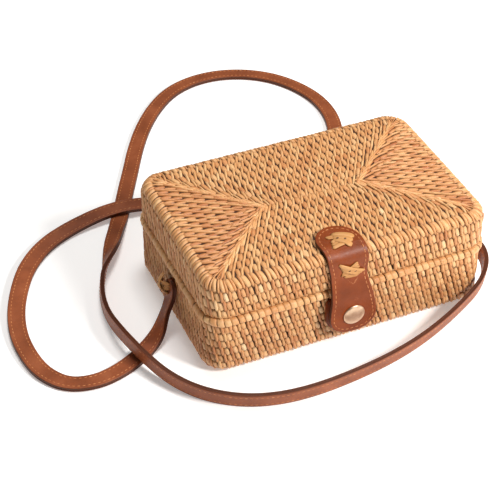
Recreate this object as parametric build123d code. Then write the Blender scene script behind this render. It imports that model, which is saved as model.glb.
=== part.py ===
from build123d import *
import math
import os

os.makedirs("parts", exist_ok=True)

# Rectangular coiled-grass box bag with a hinged lid, a leather closure tab and a leather shoulder strap.
# Millimetres, +Z up. The origin is the centre of the bottom, on the surface that the bag stands on.
# The front, with the tab, faces -Y, and the strap is tied to the left (-X) and right (+X) walls.

# Basket body
body_length = 200.0
body_depth = 130.0
body_height = 74.0
corner_radius = 16.0
edge_round = 7.0
wall = 4.6
seam_height = 46.4
seam_gap = 0.3

# Coiled rows, seen as ridges
row_pitch = 6.2
lid_row_pitch = 7.2
lid_wall_rows = 3
ridge_depth = 0.9
crest_start = 0.27

# Gaps between the strands, in every second joint of the turns on the lid's top
gap_pitch = 11.6
gap_length = 4.6
gap_width = 1.6
gap_depth = 1.5
gap_lean = 7.2
gap_margin = 3.0
rim_height = 6.0
rim_proud = 1.8
rim_recess = 1.2
rim_chamfer = 1.6

# Cloth lining, glued inside the weave
lining_thickness = 0.8
lining_gap = 0.3
lining_set_back = 1.0

# Grass lashings that hinge the lid
lashing_spacing = 104.0
lashing_width = 6.0
lashing_inner = 2.3
lashing_thickness = 2.0
hinge_clearance = 0.3

# Leather closure tab, two layers sewn together
leather_layer = 1.2
leather_gap = 0.2
tab_top_reach = 25.5
tab_top_width = 29.5
tab_fold_width = 28.5
tab_waist_width = 25.5
tab_waist_above_seam = 13.6
tab_bottom_width = 33.0
tab_bottom_height = 14.0
tab_bottom_radius = 12.5
tab_bottom_straight = 0.5
tab_fold_x = -5.9
tab_lean = 0.065
tab_bend_above_seam = 8.4
tab_bend_radius = 18.0
tab_flat_margin = 5.0
flex_above_seam = 6.0
flex_gap = 0.3

# Press stud between the tab and its patch
snap_height = 28.0
cap_radius = 7.5
cap_rise = 1.9
cap_edge = 0.7
rivet_radius = 1.8
socket_radius = 5.5
socket_thickness = 1.8
socket_bore = 2.7
socket_bore_depth = 1.2
stud_flange_radius = 4.6
stud_flange = 0.5
stud_radius = 2.2
stud_rise = 1.5
stud_clearance = 0.3
washer_radius = 4.0
washer_thickness = 0.6
patch_width = 34.0
patch_bottom = 13.0
patch_below_rim = 0.8
patch_thickness = 1.6
patch_bottom_radius = 12.0
patch_top_radius = 4.0

# Grass knots that tie the leather to the weave
knot_span = 18.0
knot_strand = 5.4
knot_rise = 2.4
knot_angle = 33.0
under_strand_share = 0.6
small_knot_scale = 0.48
small_knot_rise = 0.8
shank_radius = 1.5
shank_clearance = 0.3
shank_depth = 3.0
upper_knot_back = 10.0
lower_knot_lift = 0.2
patch_knot_inset = 4.0

# Shoulder strap, two leather layers
strap_width = 12.0
strap_thickness = 3.0
strap_gap = 0.3
strap_knot_height = 31.0
strap_knot_scale = 0.76
strap_knot_rise = 3.2
left_strap_y = -5.0
left_tip_below_rim = 0.4
left_end_height = 21.0
right_tip_y = 9.0
right_end_y = -8.0
right_end_height = 26.5
right_end_slope = 17.5
right_knot_share = 0.55
strap_lift = 0.8

half_length = body_length / 2
half_depth = body_depth / 2
rim_bottom = seam_height - rim_height
lid_edge = seam_height + seam_gap
tab_bend_height = seam_height + tab_bend_above_seam
tab_waist_height = seam_height + tab_waist_above_seam
flex_height = seam_height + flex_above_seam
patch_top = rim_bottom - patch_below_rim
left_tip_height = rim_bottom - left_tip_below_rim
patch_knot_heights = (patch_top - patch_knot_inset, patch_bottom + patch_knot_inset)
upper_knot_y = -half_depth + upper_knot_back
lower_knot_height = (flex_height + body_height) / 2 + lower_knot_lift
hinge_y = half_depth + rim_proud + hinge_clearance
hinge_z = seam_height + seam_gap / 2
leather = 2 * leather_layer
inner_round = max(edge_round - wall, 1.0)
cut_reach = body_height
overrun = 5.0


def save(shape, name):
    """Write one solid to its own file."""
    shape.label = name
    export_step(shape, "parts/" + name + ".step")


def outer_point(s, sink, start, up, straight):
    """A point on the outside at developed distance s from the wall's edge, sunk below the crests."""
    turn = edge_round * math.pi / 2
    middle = start + up * straight
    if s <= straight:
        return (corner_radius - sink, start + up * s)
    if s <= straight + turn:
        a = (s - straight) / edge_round
        reach = edge_round - sink
        return (corner_radius - edge_round + reach * math.cos(a), middle + up * reach * math.sin(a))
    return (corner_radius - edge_round - (s - straight - turn), middle + up * (edge_round - sink))


def ridged_line(start, up, straight, rows):
    """The ridged outside from the wall's edge, round the edge of the box and in to its middle line."""
    groove_then_crest = ((0.0, 1.0), (crest_start, 0.0), (1 - crest_start, 0.0))
    points = []
    for low, high in zip(rows[:-1], rows[1:]):
        for share, sink in groove_then_crest:
            s = low + share * (high - low)
            points.append(outer_point(s, sink * ridge_depth, start, up, straight))
    points.append(outer_point(rows[-1], ridge_depth, start, up, straight))
    return points


def split_line(points, limit):
    """Cut the ridged line where it crosses r = limit, into the part outside and the part inside."""
    for k in range(1, len(points)):
        (r0, z0), (r1, z1) = points[k - 1], points[k]
        if r1 < limit:
            t = (r0 - limit) / (r0 - r1)
            cut = (limit, z0 + t * (z1 - z0))
            return points[:k] + [cut], [cut] + points[k:]
    return points, []


def even_rows(start, end, pitch):
    """Row boundaries from start to end, as near to the pitch as whole rows allow."""
    count = max(1, round((end - start) / pitch))
    return [start + (end - start) * k / count for k in range(count + 1)]


def ring(points):
    """Run a wall section (r, z) round the box: four straight sides and four turned corners."""
    section = make_face(Polyline(*[(r, 0, z) for r, z in points], close=True))
    x = half_length - corner_radius
    y = half_depth - corner_radius
    side_right = Pos(x, -y, 0) * extrude(section, amount=2 * y, dir=(0, 1, 0))
    front_section = Rot(0, 0, -90) * section
    side_front = Pos(-x, -y, 0) * extrude(front_section, amount=2 * x, dir=(1, 0, 0))
    corner = revolve(section, axis=Axis.Z, revolution_arc=90)
    solid = side_right + Pos(x, y, 0) * corner
    solid += Pos(-x, y, 0) * Rot(0, 0, 90) * corner
    solid += Pos(-x, -y, 0) * Rot(0, 0, 180) * corner
    solid += Pos(x, -y, 0) * Rot(0, 0, 270) * corner
    solid += Rot(0, 0, 180) * side_right
    solid += side_front
    solid += Rot(0, 0, 180) * side_front
    return solid


def panel(points, inner_z):
    """The ridged plate inside the corner circles, its rows mitred like a picture frame."""
    x = half_length - corner_radius
    y = half_depth - corner_radius
    ridge_x = x - y
    closed = [(r, 0, z) for r, z in points] + [(-y, 0, inner_z), (0, 0, inner_z)]
    section = make_face(Polyline(*closed, close=True))
    front = extrude(Rot(0, 0, -90) * section, amount=2 * x, dir=(1, 0, 0))
    front = Pos(-x, -y, 0) * front
    right = Pos(x, -y, 0) * extrude(section, amount=2 * y, dir=(0, 1, 0))
    low = inner_z - cut_reach
    trapezoid = make_face(Polyline((-x, -y), (x, -y), (ridge_x, 0), (-ridge_x, 0), close=True))
    triangle = make_face(Polyline((x, -y), (x, y), (ridge_x, 0), close=True))
    front = front & (Pos(0, 0, low) * extrude(trapezoid, amount=2 * cut_reach))
    right = right & (Pos(0, 0, low) * extrude(triangle, amount=2 * cut_reach))
    solid = front + right
    solid += Rot(0, 0, 180) * front
    solid += Rot(0, 0, 180) * right
    return solid


def inside_bend(z_in, up):
    """The small inner round between the wall and the plate, from the plate to the wall."""
    centre = corner_radius - wall - inner_round
    line = []
    for degrees in (0.0, 45.0, 90.0):
        a = math.radians(degrees)
        line.append((centre + inner_round * math.sin(a), z_in - up * inner_round * (1 - math.cos(a))))
    return line


def band(points, radii, near, far):
    """A strip of leather between two offsets of one bent line in the YZ plane, run along X."""

    def shifted(offset):
        line = []
        for k, (y, z) in enumerate(points):
            ways = []
            if k > 0:
                ways.append((y - points[k - 1][0], z - points[k - 1][1]))
            if k < len(points) - 1:
                ways.append((points[k + 1][0] - y, points[k + 1][1] - z))
            normals = []
            for dy, dz in ways:
                size = math.hypot(dy, dz)
                normals.append((dz / size, -dy / size))
            ny = sum(n[0] for n in normals)
            nz = sum(n[1] for n in normals)
            scale = 2 / (ny * ny + nz * nz) if len(normals) == 2 else 1.0
            line.append((0, y + offset * ny * scale, z + offset * nz * scale))
        return line

    inner = shifted(near)
    outer = shifted(far)
    inner_line = FilletPolyline(*inner, radius=[r + near * turn for r, turn in radii])
    outer_line = FilletPolyline(*outer, radius=[r + far * turn for r, turn in radii])
    ends = Line(inner[0], outer[0]) + Line(inner[-1], outer[-1])
    section = make_face(inner_line.edges() + outer_line.edges() + ends.edges())
    return Pos(-cut_reach, 0, 0) * extrude(section, amount=2 * cut_reach, dir=(1, 0, 0))


def cross_knot(scale, rise):
    """A flat knot of two crossed strands. Local +Z points out of the leather."""
    span = knot_span * scale
    strand = knot_strand * scale
    low = extrude(SlotOverall(span, strand), amount=rise * under_strand_share)
    high = extrude(SlotOverall(span, strand), amount=rise)
    return Rot(0, 0, knot_angle) * low + Rot(0, 0, -knot_angle) * high


def shank(depth, rise):
    """The strands that go through the leather into the weave, from their blind end up into the knot."""
    return Pos(0, 0, -depth) * extrude(Circle(shank_radius), amount=depth + rise * under_strand_share)


def shank_hole(depth):
    """Clearance round a knot's shank, from the leather's outer face inward."""
    return Pos(0, 0, -depth - shank_clearance) * extrude(
        Circle(shank_radius + shank_clearance), amount=depth + 2 * shank_clearance
    )


# Where things sit. Each knot has a frame whose +Z points out of the surface that it ties down.
def tab_x(height):
    """The tab's middle line on the front leans a little towards the right as it goes down."""
    return tab_fold_x + tab_lean * (body_height - height)


lid_front_face = -half_depth - leather_gap - leather
snap_leather_face = -(
    half_depth + leather_gap + patch_thickness + stud_rise + stud_clearance + socket_thickness
)
snap_x = tab_x(snap_height)
left_face_x = -half_length - strap_gap
right_face_x = half_length + strap_gap
upper_knot_x = tab_fold_x + tab_lean * (-half_depth - upper_knot_y)
upper_knot_frame = Pos(upper_knot_x, upper_knot_y, body_height + leather_gap + leather)
lower_knot_frame = Pos(tab_x(lower_knot_height), lid_front_face, lower_knot_height) * Rot(90, 0, 0)
patch_knot_frames = [
    Pos(tab_x(z), -half_depth - leather_gap - patch_thickness, z) * Rot(90, 0, 0)
    for z in patch_knot_heights
]
left_knot_frame = Pos(left_face_x - strap_thickness, left_strap_y, strap_knot_height) * Rot(0, -90, 0)
right_slope = math.tan(math.radians(right_end_slope))
right_knot_y = right_end_y + right_knot_share * (right_tip_y - right_end_y)
right_knot_z = right_end_height + (right_knot_y - right_end_y) * right_slope
right_knot_frame = Pos(right_face_x + strap_thickness, right_knot_y, right_knot_z) * Rot(0, 90, 0)
tab_knot_depth = leather + leather_gap + shank_depth
patch_knot_depth = patch_thickness + leather_gap + shank_depth
strap_knot_depth = strap_thickness + strap_gap + shank_depth

# Base of the box: one coiled shell with ridged walls and bottom
base_straight = rim_bottom - edge_round
base_total = base_straight + edge_round * math.pi / 2 + half_depth - edge_round
base_rows = even_rows(0.0, base_total, row_pitch)
base_line = ridged_line(rim_bottom, -1, base_straight, base_rows)
base_outside, base_inside = split_line(base_line, 0.0)
base_section = [(corner_radius - wall, seam_height), (corner_radius - rim_recess, seam_height)]
base_section += [(corner_radius - rim_recess, rim_bottom)] + base_outside
base_section += [(0.0, wall)] + inside_bend(wall, -1)
base_shell = ring(base_section) + panel(base_inside, wall)

# Lid: the same shell upside down, standing just clear of the rim
lid_straight = body_height - edge_round - lid_edge
lid_total = lid_straight + edge_round * math.pi / 2 + half_depth - edge_round
lid_split = lid_wall_rows * lid_row_pitch
lid_rows = even_rows(0.0, lid_split, lid_row_pitch) + even_rows(lid_split, lid_total, row_pitch)[1:]
lid_line = ridged_line(lid_edge, 1, lid_straight, lid_rows)
lid_outside, lid_inside = split_line(lid_line, 0.0)
lid_inner = body_height - wall
lid_section = [(corner_radius - wall, lid_edge)] + lid_outside
lid_section += [(0.0, lid_inner)] + inside_bend(lid_inner, 1)
lid_shell = ring(lid_section) + panel(lid_inside, lid_inner)


# Gaps between the strands: short V-shaped notches that lean with the weave
def strand_gap():
    """One notch across a joint of two turns. Local +Z points out of the basket and +Y inwards."""
    notch = make_face(
        Polyline((-gap_width, gap_depth), (gap_width, gap_depth), (0, -gap_depth), close=True)
    )
    return Rot(0, 0, -gap_lean) * Rot(90, 0, 0) * extrude(notch, amount=gap_length / 2, both=True)


flat_joints = [s for s in lid_rows[1:-1] if lid_total - s < half_depth - corner_radius + row_pitch / 2]
gaps = []
for joint in flat_joints[::2]:
    outside = lid_total - joint
    for quarter in range(4):
        reach = outside if quarter % 2 == 0 else outside + half_length - half_depth
        half_run = half_length - half_depth + outside if quarter % 2 == 0 else outside
        count = int((2 * half_run - 2 * gap_margin) / gap_pitch)
        for k in range(count):
            place = Pos((k - (count - 1) / 2) * gap_pitch, -reach, body_height)
            gaps.append(Rot(0, 0, 90 * quarter) * place * strand_gap())
lid_shell -= gaps
print("gaps in the lid", len(gaps))

# Wrapped coil round the mouth of the base
base_rim = ring(
    [
        (corner_radius - rim_recess, rim_bottom),
        (corner_radius + rim_proud / 2, rim_bottom),
        (corner_radius + rim_proud, rim_bottom + rim_chamfer),
        (corner_radius + rim_proud, seam_height - rim_chamfer),
        (corner_radius + rim_proud / 2, seam_height),
        (corner_radius - rim_recess, seam_height),
    ]
)


# Hinge lashings: bands of grass wound through the rim and the lid's edge, round the hinge line
def lashing(extra):
    """One wound band about the hinge line, grown by extra for the hole that it passes through."""
    outer = Circle(lashing_inner + lashing_thickness + extra)
    inner = Circle(lashing_inner - extra)
    loop = extrude(outer - inner, amount=lashing_width + 2 * extra)
    return Pos(0, hinge_y, hinge_z) * Rot(0, 90, 0) * Pos(0, 0, -lashing_width / 2 - extra) * loop


for side, name in ((-1, "hinge_lashing_left"), (1, "hinge_lashing_right")):
    place = Pos(side * lashing_spacing / 2, 0, 0)
    save(place * lashing(0.0), name)
    hole = place * lashing(hinge_clearance)
    base_shell -= hole
    base_rim -= hole
    lid_shell -= hole

# Blind holes that take the knots' shanks
base_shell -= left_knot_frame * shank_hole(strap_knot_depth)
base_shell -= right_knot_frame * shank_hole(strap_knot_depth)
for frame in patch_knot_frames:
    base_shell -= frame * shank_hole(patch_knot_depth)
lid_shell -= upper_knot_frame * shank_hole(tab_knot_depth)
lid_shell -= lower_knot_frame * shank_hole(tab_knot_depth)
save(base_shell, "base_shell")
save(base_rim, "base_rim")
save(lid_shell, "lid_shell")


# Linings: thin trays of cloth just inside the shells
def tray(low, high, floor_low):
    """A lining with four walls and one closed end, below when floor_low is true and above otherwise."""
    inset = wall + lining_gap
    radius = corner_radius - inset
    long_outside = body_length - 2 * inset
    deep_outside = body_depth - 2 * inset
    outside = extrude(RectangleRounded(long_outside, deep_outside, radius), amount=high - low)
    hollow = extrude(
        RectangleRounded(
            long_outside - 2 * lining_thickness,
            deep_outside - 2 * lining_thickness,
            radius - lining_thickness,
        ),
        amount=high - low - lining_thickness,
    )
    bend = inner_round + lining_gap
    end_edges = outside.edges().group_by(Axis.Z)[0 if floor_low else -1]
    outside = chamfer(end_edges, bend)
    inner_edges = hollow.edges().group_by(Axis.Z)[0 if floor_low else -1]
    hollow = chamfer(inner_edges, bend)
    lift = lining_thickness if floor_low else 0.0
    return Pos(0, 0, low) * (outside - Pos(0, 0, lift) * hollow)


save(tray(wall + lining_gap, seam_height - lining_set_back, True), "base_lining")
save(tray(lid_edge + lining_set_back, lid_inner - lining_gap, False), "lid_lining")

# Closure tab: the bent line of its inner face, from the back end on the lid down to the tip
tab_line = [
    (-half_depth + tab_top_reach, body_height + leather_gap),
    (-half_depth - leather_gap, body_height + leather_gap),
    (-half_depth - leather_gap, tab_bend_height),
    (snap_leather_face, snap_height + cap_radius + tab_flat_margin),
    (snap_leather_face, tab_bottom_height - overrun),
]
tab_radii = [(edge_round + leather_gap, 1), (tab_bend_radius, -1), (tab_bend_radius, 1)]

# Its outline: a round end on the lid, a waist on the front and a wide rounded tip
fold_y = -half_depth + edge_round
front_top = body_height + leather + overrun
tip_start = tab_bottom_height + tab_bottom_radius + tab_bottom_straight
front_outline = Polyline(
    (tab_x(tip_start) - tab_bottom_width / 2, tip_start),
    (tab_x(tab_waist_height) - tab_waist_width / 2, tab_waist_height),
    (tab_fold_x - tab_fold_width / 2, body_height),
    (tab_fold_x - tab_fold_width / 2, front_top),
    (tab_fold_x + tab_fold_width / 2, front_top),
    (tab_fold_x + tab_fold_width / 2, body_height),
    (tab_x(tab_waist_height) + tab_waist_width / 2, tab_waist_height),
    (tab_x(tip_start) + tab_bottom_width / 2, tip_start),
)
tip_left = tab_x(tip_start) - tab_bottom_width / 2
tip_right = tab_x(tip_start) + tab_bottom_width / 2
tip_outline = FilletPolyline(
    (tip_right, tip_start),
    (tip_right, tab_bottom_height),
    (tip_left, tab_bottom_height),
    (tip_left, tip_start),
    radius=[tab_bottom_radius, tab_bottom_radius],
)
front_face = make_face(front_outline.edges() + tip_outline.edges())
front_prism = Pos(0, fold_y, 0) * Rot(90, 0, 0) * extrude(front_face, amount=cut_reach)
top_end_y = -half_depth + tab_top_reach
top_radius = tab_top_width / 2
top_x = tab_fold_x + tab_lean * (fold_y - top_end_y)
top_outline = Polyline(
    (top_x - top_radius, top_end_y - top_radius),
    (tab_fold_x - tab_fold_width / 2, fold_y),
    (tab_fold_x + tab_fold_width / 2, fold_y),
    (top_x + top_radius, top_end_y - top_radius),
)
top_arc = ThreePointArc(
    (top_x + top_radius, top_end_y - top_radius),
    (top_x, top_end_y),
    (top_x - top_radius, top_end_y - top_radius),
)
top_face = make_face(top_outline.edges() + top_arc.edges())
top_prism = Pos(0, 0, body_height - cut_reach / 2) * extrude(top_face, amount=cut_reach)
above = Pos(0, 0, flex_height + flex_gap / 2 + cut_reach) * Box(
    4 * cut_reach, 4 * cut_reach, 2 * cut_reach
)
below = Pos(0, 0, flex_height - flex_gap / 2 - cut_reach) * Box(
    4 * cut_reach, 4 * cut_reach, 2 * cut_reach
)
snap_hole = Pos(snap_x, 0, snap_height) * Rot(90, 0, 0) * extrude(Circle(rivet_radius), amount=2 * cut_reach)
upper_hole = upper_knot_frame * shank_hole(tab_knot_depth)
lower_hole = lower_knot_frame * shank_hole(tab_knot_depth)

for layer, near, far in (("inner", 0.0, leather_layer), ("outer", leather_layer, leather)):
    strip = band(tab_line, tab_radii, near, far)
    whole = (strip & front_prism) + (strip & top_prism)
    anchor = (whole & above) - upper_hole - lower_hole
    flap = (whole & below) - snap_hole
    save(anchor, "tab_anchor_" + layer)
    save(flap, "tab_flap_" + layer)

# The knots' undersides take the shape of the outer leather that they lie on
under_knots = band(tab_line, tab_radii, -leather, leather)
under_knots = (under_knots & front_prism) + (under_knots & top_prism)
for frame, name in ((upper_knot_frame, "tab_knot_upper"), (lower_knot_frame, "tab_knot_lower")):
    knot = frame * cross_knot(1.0, knot_rise) - under_knots
    save(knot + frame * shank(tab_knot_depth, knot_rise), name)

# Press stud: domed cap and its socket on the tab, stud and washer on the patch
snap_frame = Pos(snap_x, snap_leather_face - leather, snap_height) * Rot(90, 0, 0)
cap_dome = [
    (cap_radius * math.cos(math.radians(a)), 0, cap_edge + (cap_rise - cap_edge) * math.sin(math.radians(a)))
    for a in range(0, 90, 15)
]
cap = revolve(make_face(Polyline((0, 0, 0), (cap_radius, 0, 0), *cap_dome, (0, 0, cap_rise), close=True)))
cap += Pos(0, 0, -leather) * extrude(Circle(rivet_radius), amount=leather)
save(snap_frame * cap, "snap_cap")
socket = extrude(Circle(socket_radius), amount=-socket_thickness)
socket -= Pos(0, 0, -socket_thickness) * extrude(Circle(socket_bore), amount=socket_bore_depth)
save(snap_frame * Pos(0, 0, -leather) * socket, "snap_socket")

patch_face_y = -half_depth - leather_gap
stud_frame = Pos(snap_x, patch_face_y - patch_thickness, snap_height) * Rot(90, 0, 0)
stud = extrude(Circle(stud_flange_radius), amount=stud_flange)
stud += extrude(Circle(stud_radius), amount=stud_rise)
stud += extrude(Circle(rivet_radius), amount=-(patch_thickness - washer_thickness))
save(stud_frame * stud, "snap_stud")
washer = Pos(0, 0, -patch_thickness) * extrude(Circle(washer_radius), amount=washer_thickness)
save(stud_frame * washer, "snap_washer")

# Leather patch that carries the stud, tied to the base under the tab
patch_left = snap_x - patch_width / 2
patch_right = snap_x + patch_width / 2
patch_outline = FilletPolyline(
    (patch_left, patch_top),
    (patch_left, patch_bottom),
    (patch_right, patch_bottom),
    (patch_right, patch_top),
    radius=[patch_top_radius, patch_bottom_radius, patch_bottom_radius, patch_top_radius],
    close=True,
)
patch = extrude(make_face(patch_outline.edges()), amount=patch_thickness)
patch = Pos(0, patch_face_y, 0) * Rot(90, 0, 0) * patch
patch -= stud_frame * Pos(0, 0, -patch_thickness) * extrude(Circle(rivet_radius), amount=patch_thickness)
patch -= stud_frame * washer
for frame, name in zip(patch_knot_frames, ("patch_knot_upper", "patch_knot_lower")):
    patch -= frame * shank_hole(patch_knot_depth)
    knot = cross_knot(small_knot_scale, small_knot_rise) + shank(patch_knot_depth, small_knot_rise)
    save(frame * knot, name)
save(patch, "socket_patch")


# Strap ends: flat strips against the side walls under their knots
def strap_strip(length):
    """A strip of strap, round at its tip, with its free end at the origin and running along +Y."""
    half = strap_width / 2
    outline = Polyline((-half, length - half), (-half, 0), (half, 0), (half, length - half))
    tip = ThreePointArc((half, length - half), (0, length), (-half, length - half))
    return extrude(make_face(outline.edges() + tip.edges()), amount=strap_thickness)


left_strip = strap_strip(left_tip_height - left_end_height)
left_end = Pos(left_face_x, left_strap_y, left_end_height) * Rot(0, -90, 0) * Rot(0, 0, -90) * left_strip
left_end -= left_knot_frame * shank_hole(strap_knot_depth)
save(left_end, "strap_end_left")
strap_knot = cross_knot(strap_knot_scale, strap_knot_rise) + shank(strap_knot_depth, strap_knot_rise)
save(left_knot_frame * strap_knot, "strap_knot_left")

right_length = (right_tip_y - right_end_y) / math.cos(math.radians(right_end_slope))
right_strip = Rot(0, 90, 0) * strap_strip(right_length)
right_end = Pos(right_face_x, right_end_y, right_end_height) * Rot(right_end_slope, 0, 0) * right_strip
right_end -= right_knot_frame * shank_hole(strap_knot_depth)
save(right_end, "strap_end_right")
save(right_knot_frame * strap_knot, "strap_knot_right")

# Shoulder strap. It hangs from the left wall, lies flat in a loop, passes over itself and behind the
# bag, turns back in a wide loop, then twists on edge, passes over its first stretch and comes round
# the front to the right wall.
flat = strap_thickness / 2 + strap_lift
edge = strap_width / 2 + strap_lift
flat_hump = 8.4
edge_hump = 13.0
left_strap_x = left_face_x - strap_thickness / 2
right_strap_x = right_face_x + strap_thickness / 2
right_lead = 14.0
flat_route = [
    (left_strap_x, left_strap_y, left_end_height),
    (left_strap_x, left_strap_y, 8.0),
    (-111.0, left_strap_y, flat),
    (-126.0, -9.0, flat),
    (-140.0, -20.5, flat),
    (-152.0, -33.0, flat),
    (-168.0, -40.0, flat),
    (-185.0, -35.5, flat),
    (-196.0, -20.5, flat),
    (-200.0, -2.0, flat),
    (-200.5, 19.0, flat),
    (-196.0, 41.0, flat),
    (-187.0, 63.0, flat),
    (-175.0, 84.0, flat),
    (-157.0, 102.0, flat),
    (-134.0, 113.5, flat),
    (-104.0, 118.5, flat_hump),
    (-81.0, 117.0, flat_hump),
    (-55.0, 112.5, flat),
    (-28.0, 108.5, flat),
    (0.0, 107.0, flat),
    (26.0, 108.0, flat),
    (50.0, 112.0, flat),
    (72.0, 121.0, flat),
    (88.0, 136.0, flat),
    (97.5, 155.0, flat),
    (102.0, 177.0, flat),
    (100.5, 199.0, flat),
    (92.5, 220.5, flat),
    (79.5, 239.0, flat),
    (61.0, 252.5, flat),
    (39.0, 259.5, flat),
    (16.0, 258.5, flat),
    (-6.0, 249.5, flat),
    (-26.0, 231.5, flat),
    (-43.0, 210.0, flat),
    (-57.5, 186.5, flat),
    (-70.0, 162.5, flat),
    (-82.5, 139.5, flat),
    (-93.0, 119.0, flat),
    (-99.5, 107.0, flat),
]
edge_route = [
    (-112.5, 83.0, edge),
    (-121.5, 66.4, edge),
    (-132.5, 48.5, edge),
    (-139.0, 29.0, edge),
    (-141.5, 9.0, 7.4),
    (-140.5, -12.0, edge_hump),
    (-135.0, -38.0, edge_hump),
    (-126.0, -60.0, 7.4),
    (-112.0, -80.0, edge),
    (-92.0, -95.5, edge),
    (-69.0, -103.5, edge),
    (-44.0, -105.5, edge),
    (-18.0, -103.5, edge),
    (8.0, -99.5, edge),
    (33.0, -93.0, edge),
    (57.0, -84.0, 6.8),
    (79.0, -74.5, 9.6),
    (96.0, -67.0, 14.6),
    (108.0, -54.0, 18.6),
    (111.5, -38.0, 20.6),
    (right_strap_x, right_end_y - right_lead, right_end_height - right_lead * right_slope),
    (right_strap_x, right_end_y, right_end_height),
]


def corner_radii(route):
    """The largest arc that each corner's two runs allow."""
    radii = []
    for k in range(1, len(route) - 1):
        before = Vector(*route[k]) - Vector(*route[k - 1])
        after = Vector(*route[k + 1]) - Vector(*route[k])
        turn = math.radians(before.get_angle(after))
        radii.append(0.45 * min(before.length, after.length) / math.tan(turn / 2))
    return radii


def strap_run(route, name, start_wide):
    """Sweep the strap's section along straight runs joined by tangent arcs."""
    radii = corner_radii(route)
    path = FilletPolyline(*route, radius=radii)
    ahead = Vector(*route[1]) - Vector(*route[0])
    plane = Plane(origin=route[0], x_dir=start_wide, z_dir=ahead.normalized())
    run = sweep(plane * Rectangle(strap_width, strap_thickness), path=path)
    expected = strap_width * strap_thickness * path.length
    print(name, "length %.1f" % path.length, "volume ratio %.4f" % (run.volume / expected))
    print("  radii", " ".join("%.0f" % r for r in radii))
    save(run, name)
    return path.length


def carried(route, start_wide):
    """The direction across the strap at the route's end: it turns only as much as each corner does."""
    wide = Vector(*start_wide)
    for k in range(1, len(route) - 1):
        before = Vector(*route[k]) - Vector(*route[k - 1])
        after = Vector(*route[k + 1]) - Vector(*route[k])
        wide = wide.rotate(Axis((0, 0, 0), before.cross(after)), before.get_angle(after))
    return wide


edge_route.reverse()
right_wide = (0, -math.sin(math.radians(right_end_slope)), math.cos(math.radians(right_end_slope)))
flat_length = strap_run(flat_route, "strap_flat_run", (0, 1, 0))
edge_length = strap_run(edge_route, "strap_edge_run", right_wide)

# Quarter twist between the two stretches
twist_steps = 6
start = Vector(*flat_route[-1])
finish = Vector(*edge_route[-1])
start_heading = (start - Vector(*flat_route[-2])).normalized()
finish_heading = (Vector(*edge_route[-2]) - finish).normalized()
start_wide = carried(flat_route, (0, 1, 0))
finish_wide = carried(edge_route, right_wide)
print("across at the twist", start_wide, finish_wide)
sections = []
for k in range(twist_steps + 1):
    share = k / twist_steps
    swing = math.radians(90 * share)
    wide = start_wide * math.cos(swing) + finish_wide * math.sin(swing)
    heading = start_heading * (1 - share) + finish_heading * share
    centre = start + (finish - start) * share
    half_rise = (strap_width * math.sin(swing) + strap_thickness * math.cos(swing)) / 2
    centre.Z = half_rise + strap_lift
    plane = Plane(origin=centre, x_dir=wide, z_dir=heading)
    sections.append(plane * Rectangle(strap_width, strap_thickness))
save(loft(sections, ruled=True), "strap_twist")
print("strap length %.1f" % (flat_length + edge_length + (finish - start).length))
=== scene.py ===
# %% [markdown]
# This lesson dresses a small box handbag of coiled grass. The construction comes packed from the CAD
# model, already at its real size, and this script adds what the eye sees: every stitch of the weave, the
# leather with its sewn edges, the grass knots and the press stud. Everything is in metres, in the frame
# of the CAD. Sizes of the bag itself are easier to think about in millimetres, so they are multiplied by
# MM where used.

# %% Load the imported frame
import math

import bpy
import numpy as np
from mathutils import Matrix, Vector


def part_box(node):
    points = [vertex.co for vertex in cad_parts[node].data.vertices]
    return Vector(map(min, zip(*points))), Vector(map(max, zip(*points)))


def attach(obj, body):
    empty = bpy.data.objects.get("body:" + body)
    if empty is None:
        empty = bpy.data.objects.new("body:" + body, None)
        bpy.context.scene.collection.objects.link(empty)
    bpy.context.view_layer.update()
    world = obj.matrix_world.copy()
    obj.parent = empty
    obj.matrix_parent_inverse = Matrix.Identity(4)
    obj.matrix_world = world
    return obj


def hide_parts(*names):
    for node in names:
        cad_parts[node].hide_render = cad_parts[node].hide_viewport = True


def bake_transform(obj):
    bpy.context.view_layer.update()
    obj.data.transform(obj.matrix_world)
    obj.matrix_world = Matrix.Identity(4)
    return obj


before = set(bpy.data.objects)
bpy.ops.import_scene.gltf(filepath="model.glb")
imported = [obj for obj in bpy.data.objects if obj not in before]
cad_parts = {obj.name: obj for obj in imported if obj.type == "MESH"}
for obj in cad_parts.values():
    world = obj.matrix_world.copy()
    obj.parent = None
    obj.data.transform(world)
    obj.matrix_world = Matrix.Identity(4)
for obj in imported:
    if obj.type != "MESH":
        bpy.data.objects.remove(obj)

MM = 0.001  # one millimetre in metres
scene = bpy.context.scene
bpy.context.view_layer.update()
base_low, base_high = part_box("base_shell")
lid_low, lid_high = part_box("lid_shell")

# %% [markdown]
# The camera comes first, because the strap is laid against the photograph. The photograph was
# taken with a long lens from the front left, looking down. A camera can be placed by hand in the
# viewport, but numbers are easier to correct a little at a time: it goes round the point of aim by its
# azimuth and elevation, and three small turns in degrees then place the bag in the picture as it is
# there.

# %% Camera
camera_azimuth = -27.025
camera_elevation = 39.032
camera_distance = 0.98918
camera_aim = Vector((0.0, 0.0, 0.035))
camera_pan = -2.2975
camera_tilt = 0.535
camera_roll = -2.3424
focal_pixels = 1466.2
picture_pixels = 500
sensor = 36.0


def camera_axes(azimuth, elevation, pan, tilt, roll):
    """Columns are the camera's right, up and back in the world."""
    a = math.radians(azimuth)
    e = math.radians(elevation)
    back = Vector((math.sin(a) * math.cos(e), -math.cos(a) * math.cos(e), math.sin(e)))
    right = Vector((math.cos(a), math.sin(a), 0.0))
    axes = Matrix((right, back.cross(right), back)).transposed()
    for degrees, axis in ((pan, "Y"), (tilt, "X"), (roll, "Z")):
        axes = axes @ Matrix.Rotation(math.radians(-degrees), 3, axis)
    return axes, back


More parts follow.
